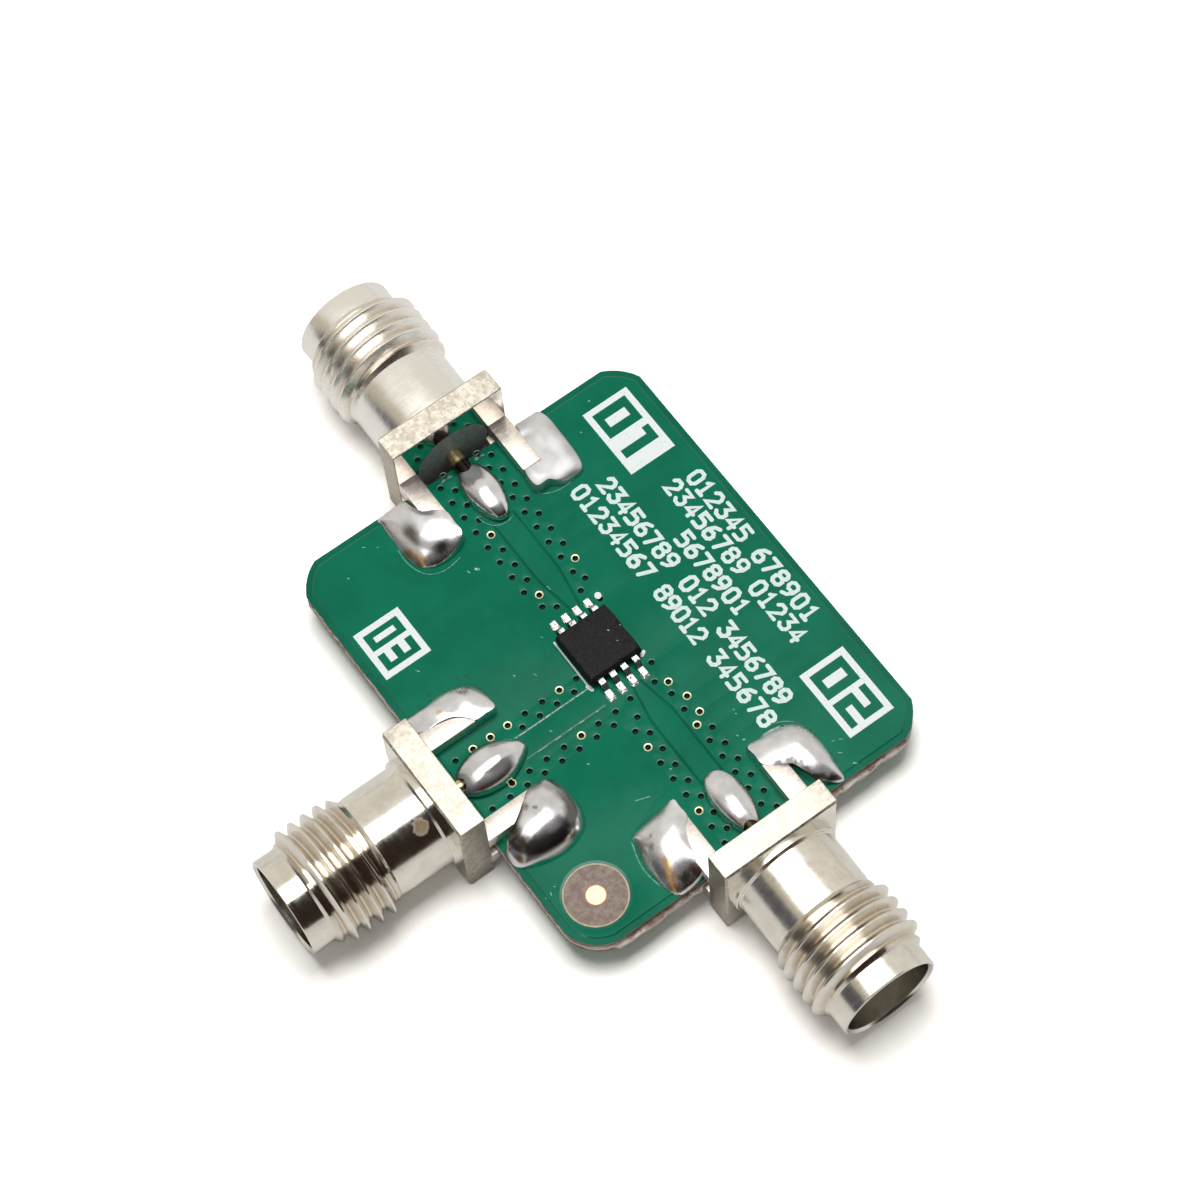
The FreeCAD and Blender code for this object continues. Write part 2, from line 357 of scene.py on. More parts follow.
def circle(x, y, radius, corners):
    turns = [2 * math.pi * k / corners for k in range(corners)]
    return [Vector((x + radius * math.cos(turn), y + radius * math.sin(turn))) for turn in turns]


def is_inside(point, loop):
    """True if a flat point lies inside a closed loop."""
    inside = False
    before = loop[-1]
    for corner in loop:
        if (corner.y > point.y) != (before.y > point.y):
            cross_x = corner.x + (point.y - corner.y) * (before.x - corner.x) / (before.y - corner.y)
            if point.x < cross_x:
                inside = not inside
        before = corner
    return inside


def flat_mesh(loops, heights):
    """Fills the first loop, keeps the others as creases, and lifts each loop to its height."""
    points = []
    edges = []
    lifts = []
    for loop, height in zip(loops, heights):
        start = len(points)
        count = len(loop)
        points += loop
        lifts += [height] * count
        edges += [(start + k, start + (k + 1) % count) for k in range(count)]
    found, _, triangles, origins, _, _ = delaunay_2d_cdt(points, edges, [], 1, 1e-5)
    solid = []
    for point, origin in zip(found, origins):
        lift = lifts[origin[0]] if origin else 0.0
        solid.append(lifted(point, lift))
    return solid, [tuple(face) for face in triangles]


def middle_of(points, face):
    """The flat middle of a triangle."""
    return sum((points[k].xy for k in face), Vector((0, 0))) / 3


# Materials
def colour(red, green, blue):
    """A colour written as it shows on a screen, 0 to 255."""
    return tuple(
        value / 255 / 12.92 if value <= 10 else ((value / 255 + 0.055) / 1.055) ** 2.4
        for value in (red, green, blue)
    )


class Graph:
    """The nodes of a material or a world, with helpers that add to them."""

    def __init__(self, owner):
        owner.use_nodes = True
        self.tree = owner.node_tree
        self.tree.nodes.clear()

    def add(self, kind, *values):
        """Adds a node and puts values on its first inputs."""
        node = self.tree.nodes.new("ShaderNode" + kind)
        for socket, value in zip(node.inputs, values):
            self.put(socket, value)
        return node

    def put(self, socket, value):
        if isinstance(value, bpy.types.NodeSocket):
            self.tree.links.new(value, socket)
        elif socket.type == "RGBA":
            socket.default_value = (*value, 1)
        else:
            socket.default_value = value

    def maths(self, operation, first, second):
        node = self.add("Math", first, second)
        node.operation = operation
        return node.outputs[0]

    def total(self, first, second):
        return self.maths("ADD", first, second)

    def product(self, first, second):
        return self.maths("MULTIPLY", first, second)

    def span(self, value, low, high, to_low=0.0, to_high=1.0):
        """Goes smoothly from to_low to to_high as the value goes from low to high."""
        node = self.add("MapRange", value, low, high, to_low, to_high)
        node.interpolation_type = "SMOOTHSTEP"
        return node.outputs[0]

    def blend(self, share, first, second):
        node = self.add("Mix")
        node.data_type = "RGBA"
        self.put(node.inputs["Factor"], share)
        self.put(node.inputs[6], first)
        self.put(node.inputs[7], second)
        return node.outputs[2]


class Finish(Graph):
    """A material with a Principled shader. Patterns are in millimetres, colours as they show on a screen."""

    def __init__(self, name, **values):
        self.material = bpy.data.materials.new(name)
        super().__init__(self.material)
        self.shader = self.add("BsdfPrincipled")
        self.add("OutputMaterial", self.shader.outputs[0])
        coordinates = self.add("TexCoord")
        self.place = self.vector_maths("MULTIPLY", coordinates.outputs["Object"], (1 / MM, 1 / MM, 1 / MM))
        for key, value in values.items():
            self.set(key.replace("_", " "), value)

    def put(self, socket, value):
        if socket.type == "RGBA" and isinstance(value, tuple):
            value = colour(*value)
        super().put(socket, value)

    def set(self, name, value):
        self.put(self.shader.inputs[name], value)

    def vector_maths(self, operation, first, second):
        node = self.add("VectorMath", first, second)
        node.operation = operation
        return node.outputs["Value" if operation == "DISTANCE" else "Vector"]

    def stretched(self, factors):
        return self.vector_maths("MULTIPLY", self.place, factors)

    def distance_from(self, point, place=None):
        return self.vector_maths("DISTANCE", place or self.place, point)

    def part_of_place(self, axis):
        return self.add("SeparateXYZ", self.place).outputs[axis]

    def upward(self):
        """How squarely the surface faces up: 1 on a level top, 0 on an upright wall."""
        geometry = self.add("NewGeometry")
        return self.add("SeparateXYZ", geometry.outputs["Normal"]).outputs[2]

    def noise(self, scale, detail=3.0, roughness=0.6, place=None):
        node = self.add("TexNoise", place or self.place)
        node.inputs["Scale"].default_value = scale
        node.inputs["Detail"].default_value = detail
        node.inputs["Roughness"].default_value = roughness
        return node.outputs[0]

    def wobble(self, scale, reach):
        """Noise to both sides of zero."""
        return self.product(self.maths("SUBTRACT", self.noise(scale, 4), 0.5), reach)

    def mottle(self, pattern, low, high, first, second):
        """Blends two colours as a pattern goes from low to high."""
        return self.blend(self.span(pattern, low, high), first, second)

    def ragged_distance(self, point, radius):
        return self.total(self.distance_from(point), self.wobble(3.5, radius * 1.4))

    def stained(self, base, stains, strength=0.85):
        """Spots with soft, slightly ragged edges, given as (point, radius, colour)."""
        for point, radius, tint in stains:
            reach = self.ragged_distance(point, radius)
            base = self.blend(self.span(reach, radius * 0.2, radius * 1.1, strength, 0), base, tint)
        return base

    def bump(self, height, size, strength=1.0):
        """Bump whose full height is size millimetres."""
        node = self.add("Bump", strength, size * MM)
        self.put(node.inputs["Height"], height)
        self.set("Normal", node.outputs[0])


def grained_finish(name, grain, spread, first, second, bump=None, **values):
    """A plain material: a noise blends two colours over its spread and lifts a fine bump."""
    finish = Finish(name, **values)
    pattern = finish.noise(*grain)
    finish.set("Base Color", finish.mottle(pattern, *spread, first, second))
    if bump:
        finish.bump(pattern, *bump)
    return finish.material


def lacquer_finish(name, pale, deep, gloss=0.2, shine=0.08):
    """Green solder lacquer: faint clouds, an even gloss and slight orange peel."""
    finish = Finish(name, Specular_IOR_Level=shine)
    finish.set("Base Color", finish.mottle(finish.noise(0.35, 4), 0.35, 0.65, deep, pale))
    finish.set("Roughness", finish.span(finish.noise(3, 5), 0.3, 0.7, gloss - 0.05, gloss + 0.08))
    finish.bump(finish.noise(2.2, 3), 0.004, 0.5)
    return finish.material


def laminate_finish():
    """Woven glass and resin seen where no lacquer covers it."""
    finish = Finish("laminate", Roughness=0.6)
    grain = finish.noise(14, 3)
    base = finish.mottle(finish.noise(3.2, 5, 0.7), 0.35, 0.65, (132, 110, 100), (160, 146, 134))
    finish.set("Base Color", finish.blend(finish.span(grain, 0.45, 0.75, 0, 0.6), base, (120, 98, 90)))
    finish.bump(grain, 0.01, 0.6)
    return finish.material


def cut_edge_finish():
    """The routed side of the board: pink-brown layers with a pale torn line."""
    finish = Finish("cut_edge", Roughness=0.75)
    level = finish.total(finish.part_of_place(2), finish.wobble(1.4, 0.5))
    layers = finish.noise(9, 4, 0.7, finish.stretched((0.3, 0.3, 2.5)))
    base = finish.mottle(layers, 0.35, 0.65, (122, 94, 84), (176, 152, 138))
    torn = finish.product(finish.span(level, -0.86, -0.74), finish.span(level, -0.56, -0.46, 1, 0))
    finish.set("Base Color", finish.blend(finish.product(torn, 0.9), base, (232, 224, 216)))
    finish.bump(layers, 0.03, 0.8)
    return finish.material


def print_finish(name, pale, thin):
    """White board print with pinholes, through which the lacquer tints it where it is thin."""
    return grained_finish(name, (9, 4, 0.7), (0.3, 0.45), thin, pale, (0.006, 0.4), Roughness=0.55)


def mark_finish(name, pale, deep, roughness=0.5):
    """A thin mark on the lacquer, uneven in tone."""
    return grained_finish(name, (5, 3, 0.7), (0.35, 0.65), deep, pale, (0.004, 0.4), Roughness=roughness)


def turned_nickel_finish(name, stains=(), painted_glare=0.0, rough=0.15, groove_shade=0.0):
    """Plated brass turned on a lathe: fine rings round the axis and faint clouds.
    A share of painted glare lightens it, and warm painted shade darkens the thread's roots.
    """
    finish = Finish(name, Metallic=1.0)
    rings = finish.noise(1, 5, 0.7, finish.stretched((16, 0.35, 0.35)))
    clouds = finish.noise(0.9, 5, 0.65)
    base = finish.mottle(clouds, 0.3, 0.7, (222, 216, 204), (238, 233, 224))
    # Painted glare: a share of near-white lightens the whole barrel.
    base = finish.blend(painted_glare, base, (250, 247, 241))
    # Painted shade: warm brown deep in the thread, fading towards the crests.
    across = finish.distance_from((0, 0, 0), finish.stretched((0, 1, 1)))
    deep = finish.span(across, thread_radius - thread_depth, thread_radius - 0.25 * thread_depth, groove_shade, 0)
    along = finish.part_of_place(0)
    threaded = finish.span(along, thread_start, thread_start + 0.3)
    threaded = finish.product(threaded, finish.span(along, nose_start - 0.3, nose_start, 1, 0))
    base = finish.blend(finish.product(deep, threaded), base, (180, 156, 124))
    finish.set("Base Color", finish.stained(base, stains))
    for point, radius, _ in stains[:1]:
        reach = finish.ragged_distance(point, radius)
        finish.set("Metallic", finish.span(reach, radius * 0.6, radius, 0.3, 1))
    finish.set("Roughness", finish.span(finish.total(rings, clouds), 0.7, 1.3, rough, rough + 0.12))
    finish.bump(rings, 0.003, 0.5)
    return finish.material


def milled_nickel_finish():
    """The flange's milled sides: blotchy plating over milling marks, with painted shade on the upright sides.
    """
    finish = Finish("milled_nickel", Metallic=1.0)
    blotches = finish.noise(3.6, 6, 0.75)
    marks = finish.noise(1, 5, 0.7, finish.stretched((1.2, 9, 9)))
    blotchy = finish.span(blotches, 0.4, 0.6)
    top = finish.blend(blotchy, (192, 184, 170), (228, 222, 211))
    # Painted shade: the upright sides get a darker copy of the plating than the level tops.
    upright = finish.blend(blotchy, (160, 149, 135), (198, 189, 175))
    finish.set("Base Color", finish.mottle(finish.upward(), 0.2, 0.8, upright, top))
    finish.set("Roughness", finish.span(blotches, 0.35, 0.65, 0.28, 0.5))
    finish.bump(finish.total(marks, blotches), 0.02, 0.5)
    return finish.material


def mirror_nickel_finish():
    """The flange's rear face, bright enough to mirror the board."""
    finish = Finish("mirror_nickel", Metallic=1.0)
    clouds = finish.noise(1.3, 4)
    finish.set("Base Color", finish.mottle(clouds, 0.3, 0.7, (214, 206, 196), (230, 224, 216)))
    finish.set("Roughness", finish.span(clouds, 0.4, 0.7, 0.03, 0.1))
    finish.bump(finish.noise(5, 3), 0.002, 0.3)
    return finish.material


def leg_nickel_finish():
    """Leg faces with scratches across them and warm streaks in the plating."""
    finish = Finish("leg_nickel", Metallic=1.0)
    streaks = finish.noise(1, 5, 0.75, finish.stretched((14, 2.5, 2.5)))
    specks = finish.noise(4.5, 5, 0.75)
    base = finish.mottle(streaks, 0.35, 0.65, (222, 210, 200), (240, 234, 227))
    finish.set("Base Color", finish.blend(finish.span(specks, 0.58, 0.68, 0, 0.65), base, (136, 106, 84)))
    finish.set("Roughness", finish.span(streaks, 0.3, 0.7, 0.28, 0.46))
    finish.bump(finish.total(streaks, specks), 0.014, 0.7)
    return finish.material


def solder_finish(name, roughness=0.1, stains=(), tone=1.0, band=None):
    """Solder that wetted and set: bright, faintly rippled, stained with flux, and with painted dark
    reflections and shade.

    Stains are given as (point, radius, colour). A band is two heights between which the slope is
    painted dark as a reflection, a point and the reach round it.
    """
    finish = Finish(name, Metallic=1.0)
    ripple = finish.noise(1.1, 3, 0.5)
    pits = finish.noise(9, 4, 0.7)
    deep = (212 * tone, 211 * tone, 212 * tone)
    pale = (234 * tone, 233 * tone, 234 * tone)
    base = finish.mottle(ripple, 0.3, 0.7, deep, pale)
    base = finish.blend(finish.span(pits, 0.68, 0.76, 0, 0.5), base, (90, 86, 88))
    # The band is a painted dark reflection across the slope between two heights.
    if band:
        low, high, point, reach = band
        level = finish.total(finish.part_of_place(2), finish.product(ripple, 0.25))
        rise = finish.span(level, low, low + 0.15)
        dark = finish.product(rise, finish.span(level, high - 0.1, high + 0.12, 0.85, 0))
        near = finish.span(finish.distance_from(point), reach * 0.6, reach, 1, 0)
        base = finish.blend(finish.product(dark, near), base, PAINTED_DARK)
    # The near-black stains are painted dark reflections and shade; the amber and brown ones are flux.
    finish.set("Base Color", finish.stained(base, stains))
    finish.set("Metallic", finish.span(finish.upward(), 0.7, 0.97, 1, 0.7))
    finish.set("Roughness", finish.span(ripple, 0.35, 0.7, roughness, roughness + 0.1))
    finish.bump(finish.total(ripple, finish.product(pits, 0.15)), 0.012, 0.35)
    return finish.material


def gold_finish(port):
    """Thin gold plating on the centre contact, painted dark as shade and dark reflection where its pin nears
    the solder.
    """
    finish = Finish(port + "_contact_gold", Metallic=1.0, Roughness=0.25)
    marks = finish.noise(7, 4)
    base = finish.mottle(marks, 0.35, 0.65, (216, 196, 140), (246, 232, 186))
    reach = finish.distance_from(jack_place(port).translation / MM)
    # Painted shade and dark reflection along the pin between the insulator and the solder.
    pin_painted_dark = finish.product(finish.span(reach, 0.68, 0.82), finish.span(reach, 5, 6, 1, 0))
    finish.set("Base Color", finish.blend(pin_painted_dark, base, (58, 50, 44)))
    finish.bump(marks, 0.006, 0.4)
    return finish.material


def chip_finish():
    """Moulded epoxy: charcoal with a fine even grain."""
    finish = Finish("chip_epoxy", Specular_IOR_Level=0.2)
    grain = finish.noise(9, 4, 0.75)
    base = finish.mottle(finish.noise(1.1, 3), 0.3, 0.7, (11, 10, 10), (17, 16, 16))
    finish.set("Base Color", finish.mottle(grain, 0.42, 0.68, base, (46, 44, 45)))
    finish.set("Roughness", finish.span(grain, 0.3, 0.7, 0.5, 0.72))
    finish.bump(grain, 0.012, 0.6)
    return finish.material


def tin_finish():
    """Matt tin on the chip's leads, with brown specks of flux and painted shade on its slopes."""
    finish = Finish("bright_tin", Metallic=1.0, Roughness=0.36)
    grain = finish.noise(10, 4, 0.7)
    base = finish.mottle(grain, 0.35, 0.65, (216, 212, 210), (244, 243, 242))
    base = finish.blend(finish.span(finish.noise(5.5, 4, 0.75), 0.52, 0.62, 0, 0.9), base, (72, 56, 44))
    # Painted shade: faces that do not face up are blue-grey instead of bright tin.
    finish.set("Base Color", finish.mottle(finish.upward(), 0.7, 0.95, (136, 136, 146), base))
    finish.bump(grain, 0.01, 0.5)
    return finish.material


def dot_finish():
    """The mark's plated dot: cream in the middle with a thin orange-brown rim."""
    finish = Finish("mark_plating", Metallic=0.35, Roughness=0.4)
    finish.place = finish.stretched((1, 1, 0))
    middle = board_origin / MM + Vector((mark_x, mark_y, -board_origin.z / MM))
    reach = finish.total(finish.distance_from(middle), finish.product(finish.noise(6, 3), 0.05))
    base = finish.mottle(finish.noise(9, 3), 0.3, 0.7, (255, 244, 214), (240, 222, 182))
    finish.set("Base Color", finish.mottle(reach, 0.46, 0.53, base, (176, 108, 62)))
    finish.bump(finish.noise(20, 3), 0.004, 0.4)
    return finish.material


AMBER = (212, 164, 88)
BROWN = (84, 50, 30)
# Near-black paint for dark reflections and shade on the solder.
PAINTED_DARK = (58, 50, 46)
BARREL_STAINS = (((2.38, 1.36, 2.3), 0.46, (146, 106, 60)), ((2.38, 1.38, 2.28), 0.22, (196, 172, 132)))
FINISHES = {
    "lacquer": lacquer_finish("green_lacquer", (14, 118, 90), (10, 110, 82)),
    "bare_lacquer": lacquer_finish("dark_lacquer", (12, 112, 86), (8, 102, 76)),
    "wet_lacquer": lacquer_finish("lacquer_slopes", (12, 108, 82), (8, 98, 72), 0.14, 0.5),
    "dull_gap": lacquer_finish("dull_gap", (12, 100, 76), (9, 88, 66), 0.5, 0.05),
    "laminate": laminate_finish(),
    "edge": cut_edge_finish(),
    "copper": grained_finish(
        "bare_plating", (18, 3), (0.4, 0.7), (240, 226, 190), (214, 186, 132), (0.004, 0.4),
        Metallic=0.7, Roughness=0.35,
    ),
    "mark_rim": grained_finish(
        "mark_rim", (7, 3), (0.4, 0.6), (206, 196, 166), (178, 164, 138), Roughness=0.5
    ),
    # Inside plated holes: painted shade, a dark green for the dimple's unlit wall.
    "hole": grained_finish(
        "hole_painted_shade", (8, 2), (0.4, 0.6), (6, 38, 31), (10, 54, 43), Roughness=0.6, Specular_IOR_Level=0.1
    ),
    "print": print_finish("board_print", (244, 251, 248), (202, 226, 217)),
    "row_print": print_finish("fine_print", (226, 245, 240), (178, 220, 212)),
    # The LO barrel is lightened by painted glare; all three get painted shade deep in the thread.
    "lo_barrel": turned_nickel_finish("glare_painted_nickel", painted_glare=0.8, rough=0.2, groove_shade=0.3),
    "rf_barrel": turned_nickel_finish("turned_nickel", groove_shade=0.4),
    "if_barrel": turned_nickel_finish("stained_nickel", BARREL_STAINS, rough=0.09, groove_shade=0.35),
    "milled": milled_nickel_finish(),
    "mirror": mirror_nickel_finish(),
    "leg": leg_nickel_finish(),
    "insulator": grained_finish(
        "insulator_grey", (4, 4), (0.35, 0.7), (124, 130, 129), (148, 153, 151), (0.01, 0.4), Roughness=0.45
    ),
    "chip": chip_finish(),
    "tin": tin_finish(),
    "dot": dot_finish(),
    "glint": mark_finish("opening_glint", (110, 182, 162), (24, 120, 94), 0.3),
    # This finish serves both real dust specks and painted highlights: the glints along the IF line's gaps.
    "dust_and_glint": mark_finish("dust_and_glint", (214, 228, 222), (120, 176, 160)),
    "scuff": mark_finish("scuff", (178, 214, 202), (70, 152, 128)),
    "grime": mark_finish("grime", (20, 44, 38), (10, 26, 24)),
}


# Board
def corner_arc(sign_x, sign_y, reach, bulge, steps=10):
    """Points along one rounded corner of the board, from its end edge to its side edge."""
    start = Vector((sign_x * half_length, sign_y * (half_width - reach)))
    end = Vector((sign_x * (half_length - reach), sign_y * half_width))
    outward = Vector((sign_x, sign_y)).normalized()
    half_chord = (end - start).length / 2
    radius = (half_chord**2 + bulge**2) / (2 * bulge)
    centre = (start + end) / 2 + outward * (bulge - radius)
    half_turn = math.asin(half_chord / radius)
    along = (end - start).normalized()
    points = []
    for step in range(steps + 1):
        turn = half_turn * (2 * step / steps - 1)
        points.append(centre + outward * radius * math.cos(turn) + along * radius * math.sin(turn))
    return points


def board_outline():
    """The board's outline, anticlockwise, with close points along its sides."""
    arcs = (
        corner_arc(1, 1, corner_reach, corner_bulge),
        corner_arc(-1, 1, corner_reach, corner_bulge)[::-1],
        corner_arc(-1, -1, corner_reach, corner_bulge),
        corner_arc(1, -1, marked_corner_reach, marked_corner_bulge)[::-1],
    )
    outline = []
    for arc, following in zip(arcs, arcs[1:] + arcs[:1]):
        outline += arc
        gap = following[0] - arc[-1]
        count = int(gap.length / edge_step)
        outline += [arc[-1] + gap * step / count for step in range(1, count)]
    return outline


def via_places():
    """The middles of all plated holes."""
    places = list(chip_side_vias)
    for first, last, y in fence_rows_x:
        step = math.copysign(via_pitch, last)
        places += [(first + k * step, y) for k in range(int(abs(last - first)) + 1)]
    for first, last, x in fence_rows_y:
        places += [(x, first - k * via_pitch) for k in range(int(abs(last - first)) + 1)]
    return [Vector(place) for place in places]


def line_gap_loops():
    """The clearances on both sides of the three signal lines."""
    loops = []
    ends = (
        (-1, chip_x - lead_span / 2, lo_taper_length, lo_line_end_x),
        (1, chip_x + lead_span / 2, rf_taper_length, rf_line_end_x),
    )
    for direction, tip_x, taper, end_x in ends:
        taper_x = tip_x + direction * taper
        for side in (-1, 1):
            edge = cross_line_y + side * line_width / 2
            tip = cross_line_y + side * line_tip_width / 2
            far = side * line_gap
            loop = [
                (end_x, edge), (taper_x, edge), (tip_x, tip),
                (tip_x, tip + far), (taper_x, edge + far), (end_x, edge + far),
            ]
            loops.append(loop[::-1] if direction * side > 0 else loop)
    for side in (-1, 1):
        near = if_axis_x + side * line_width / 2
        far = near + side * line_gap
        left = min(near, far)
        right = max(near, far)
        loops.append([
            (left, if_line_end_y), (right, if_line_end_y), (right, if_line_start_y), (left, if_line_start_y),
        ])
    return [[Vector(point) for point in loop] for loop in loops]


def is_bare(place):
    """True if the lacquer leaves a ring of plating open round this hole."""
    return any((place - Vector(bare)).length < bare_match for bare in bare_vias)


BOARD_FINISHES = (
    "lacquer", "bare_lacquer", "laminate", "edge", "copper", "hole", "wet_lacquer", "mark_rim", "dull_gap",
)


def face_finish(corners, raised, cross_gaps, if_gaps, vias, marked):
    """Which of the board's finishes a triangle with these corners has."""
    middle = middle_of(corners, range(3))
    from_mark = (middle - Vector((mark_x, mark_y))).length
    nearest = min(vias, key=lambda place: (place - middle).length_squared)
    reach = (nearest - middle).length
    heights = [corner.z for corner in corners]
    if marked and from_mark < mark_radius:
        return "laminate" if from_mark < mark_radius - mark_rim else "mark_rim"
    if any(is_inside(middle, loop) for loop in cross_gaps):
        return "dull_gap"
    # Within the hole's wall the lacquer is painted dark as shade.
    if reach < via_wall_radius * 0.97:
        return "hole"
    if reach < bare_ring_radius and is_bare(nearest):
        return "copper"
    if max(heights) - min(heights) > 0.002:
        return "wet_lacquer"
    if not is_inside(middle, raised) or any(is_inside(middle, loop) for loop in if_gaps):
        return "bare_lacquer"
    return "lacquer"


def board_face(outline, underside):
    """One lacquered face: raised copper, sunk clearances, dimpled holes and the mark."""
    raised = offset_loop(outline, foil_inset + foil_slope)
    gaps = [] if underside else line_gap_loops()
    vias = via_places()
    gap_floors = [offset_loop(gap, line_slope) for gap in gaps]
    loops = [outline, offset_loop(outline, foil_inset), raised, *gaps, *gap_floors]
    heights = [-foil_step, -foil_step, 0] + [0] * len(gaps) + [-line_depth] * len(gaps)

    def add_rings(x, y, corners, rings):
        for radius, height in rings:
            loops.append(circle(x, y, radius, corners))
            heights.append(height)

    for place in vias:
        rim = bare_ring_radius if is_bare(place) else via_rim_radius
        rings = ((rim, 0), (via_wall_radius, -via_rim_drop), (via_floor_radius, -via_depth))
        add_rings(place.x, place.y, via_corners, rings)
    if not underside:
        inner = mark_radius - mark_rim
        rings = ((mark_radius + mark_slope, 0), (mark_radius, -foil_step), (inner, -foil_step))
        add_rings(mark_x, mark_y, mark_corners, rings)
    points, faces = flat_mesh(loops, heights)
    finish_of = []
    for face in faces:
        corners = [points[k] for k in face]
        finish = face_finish(corners, raised, gaps[:4], gaps[4:], vias, not underside)
        finish_of.append(BOARD_FINISHES.index(finish))
    return below_board(points) if underside else points, faces, finish_of


def ledge_reach_at(point):
    """How far the torn ledge stands out of the board's RF side. Where the jack sits there is none."""
    if point.x < half_length - 0.02 or abs(point.y - cross_line_y) < flange_reach + 0.3:
        return 0
    return ledge_reach + ledge_wander * noise_at(point, 1.1, 8)


def board_side(outline):
    """The routed side: milled layers above, and a torn ledge with a ragged fringe lower down."""
    top = -foil_step
    bottom = foil_step - board_thickness
    inward = [a - b for a, b in zip(offset_loop(outline, 1), outline)]
    rings = []
    for level in range(side_levels + 1):
        share = level / side_levels
        z = top + (bottom - top) * share
        ring = []
        for point, direction in zip(outline, inward):
            ragged = noise_at(point, 3.1, z * 9)
            wander = noise_at(point, 0.7, 5)
            depth = 0
            if 0 < level < side_levels:
                depth = cut_depth + cut_ripple * ragged
                if share > torn_share + torn_wander * wander:
                    ledge = ledge_reach_at(point) * (1 + ledge_ripple * ragged)
                    depth = max(torn_depth + torn_ripple * ragged, 0) - ledge
            ring.append(lifted(point + direction * depth, z))
        rings.append(ring)
    return loft(rings)


def make_board():
    outline = board_outline()
    side = (*board_side(outline), BOARD_FINISHES.index("edge"))
    points, faces, finish_of = joined_parts([board_face(outline, False), board_face(outline, True), side])
    finishes = [FINISHES[key] for key in BOARD_FINISHES]
    board = make_piece("board", points, faces, finishes, finish_of, sharp=board_sharp)
    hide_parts("circuit_board")


# Print: rows of plain counting digits, drawn with strokes on a grid as high as 1
DIGIT_STROKES = {
    "0": [[(0.15, 0), (0.45, 0), (0.6, 0.2), (0.6, 0.8), (0.45, 1), (0.15, 1), (0, 0.8), (0, 0.2),
           (0.15, 0)]],
    "1": [[(0.1, 0.8), (0.3, 1), (0.3, 0)], [(0.1, 0), (0.5, 0)]],
    "2": [[(0, 0.8), (0.15, 1), (0.45, 1), (0.6, 0.8), (0.6, 0.6), (0, 0), (0.6, 0)]],
    "3": [[(0, 1), (0.6, 1), (0.3, 0.6), (0.6, 0.42), (0.6, 0.18), (0.45, 0), (0.15, 0), (0, 0.15)]],
    "4": [[(0.45, 0), (0.45, 1), (0, 0.3), (0.6, 0.3)]],
    "5": [[(0.6, 1), (0, 1), (0, 0.6), (0.45, 0.6), (0.6, 0.45), (0.6, 0.15), (0.45, 0), (0, 0)]],
    "6": [[(0.5, 1), (0.2, 0.85), (0, 0.5), (0, 0.15), (0.15, 0), (0.45, 0), (0.6, 0.15), (0.6, 0.4),
           (0.45, 0.55), (0.05, 0.5)]],
    "7": [[(0, 1), (0.6, 1), (0.2, 0)]],
    "8": [[(0.15, 0.55), (0, 0.7), (0, 0.85), (0.15, 1), (0.45, 1), (0.6, 0.85), (0.6, 0.7), (0.45, 0.55),
           (0.15, 0.55), (0, 0.4), (0, 0.15), (0.15, 0), (0.45, 0), (0.6, 0.15), (0.6, 0.4), (0.45, 0.55)]],
}
# A 9 is a 6 turned upside down
DIGIT_STROKES["9"] = [[(0.6 - x, 1 - y) for x, y in DIGIT_STROKES["6"][0]]]
# Each word of the print: its digits, and where its row starts, ends and stands
PRINT_WORDS = (
    ("012345", -4.99, -0.61, 8.3), ("678901", 0.23, 4.68, 8.3),
    ("23456789", -5.25, 0.75, 7.13), ("01234", 1.55, 5.2, 7.13),
    ("5678901", -2.67, 2.42, 5.88),
    ("23456789", -7.26, -1.55, 4.64), ("012", -0.64, 1.5, 4.64), ("3456789", 2.37, 7.32, 4.64),
    ("01234567", -7.73, -1.81, 3.37), ("89012", -0.99, 2.37, 3.37), ("345678", 3.28, 7.81, 3.37),
)


def stroke_part(line, width, z):
    """A flat stroke with round ends along a line of points, as thin as print."""
    half = width / 2
    cap_steps = 6
    count = len(line)
    closed = count > 3 and (line[0] - line[-1]).length < closing_gap
    rights = []
    lefts = []
    for k, point in enumerate(line):
        before = (point - line[k - 1]).normalized() if k else (line[1] - line[0]).normalized()
        after = (line[k + 1] - point).normalized() if k + 1 < count else before
        if closed and k in (0, count - 1):
            before = (line[-1] - line[-2]).normalized()
            after = (line[1] - line[0]).normalized()
        side = Vector((-after.y, after.x))
        middle = side + Vector((-before.y, before.x))
        middle = middle.normalized() if middle.length > 0.1 else side
        reach = middle * (half / max(middle.dot(side), 0.6))
        lefts.append(point + reach)
        rights.append(point - reach)
    points = []
    for order, flat in enumerate(lefts + rights):
        points.append(lifted(flat, z + stroke_rise * (order % count)))
    faces = [(k, k + 1, count + k + 1, count + k) for k in range(count - 1)]
    if not closed:
        for k, ahead in ((count - 1, line[-1] - line[-2]), (0, line[0] - line[1])):
            ahead = ahead.normalized()
            side = lefts[k] - line[k]
            fan = [k]
            for step in range(1, cap_steps):
                turn = math.pi * step / cap_steps
                flat = line[k] + side * math.cos(turn) + ahead * half * math.sin(turn)
                fan.append(len(points))
                points.append(lifted(flat, z + stroke_rise * k))
            fan.append(count + k)
            faces.append(tuple(fan))
    return points, faces, 0


def bar_parts(bars, z):
    """Flat straight strokes, each given as its two ends and its width."""
    return [stroke_part([Vector(start), Vector(end)], width, z) for start, end, width in bars]


def make_flat_piece(name, finish, parts):
    """Makes one piece of flat print or marks."""
    points, faces, finish_of = joined_parts(parts)
    make_piece(name, points, faces, [FINISHES[finish]], finish_of)


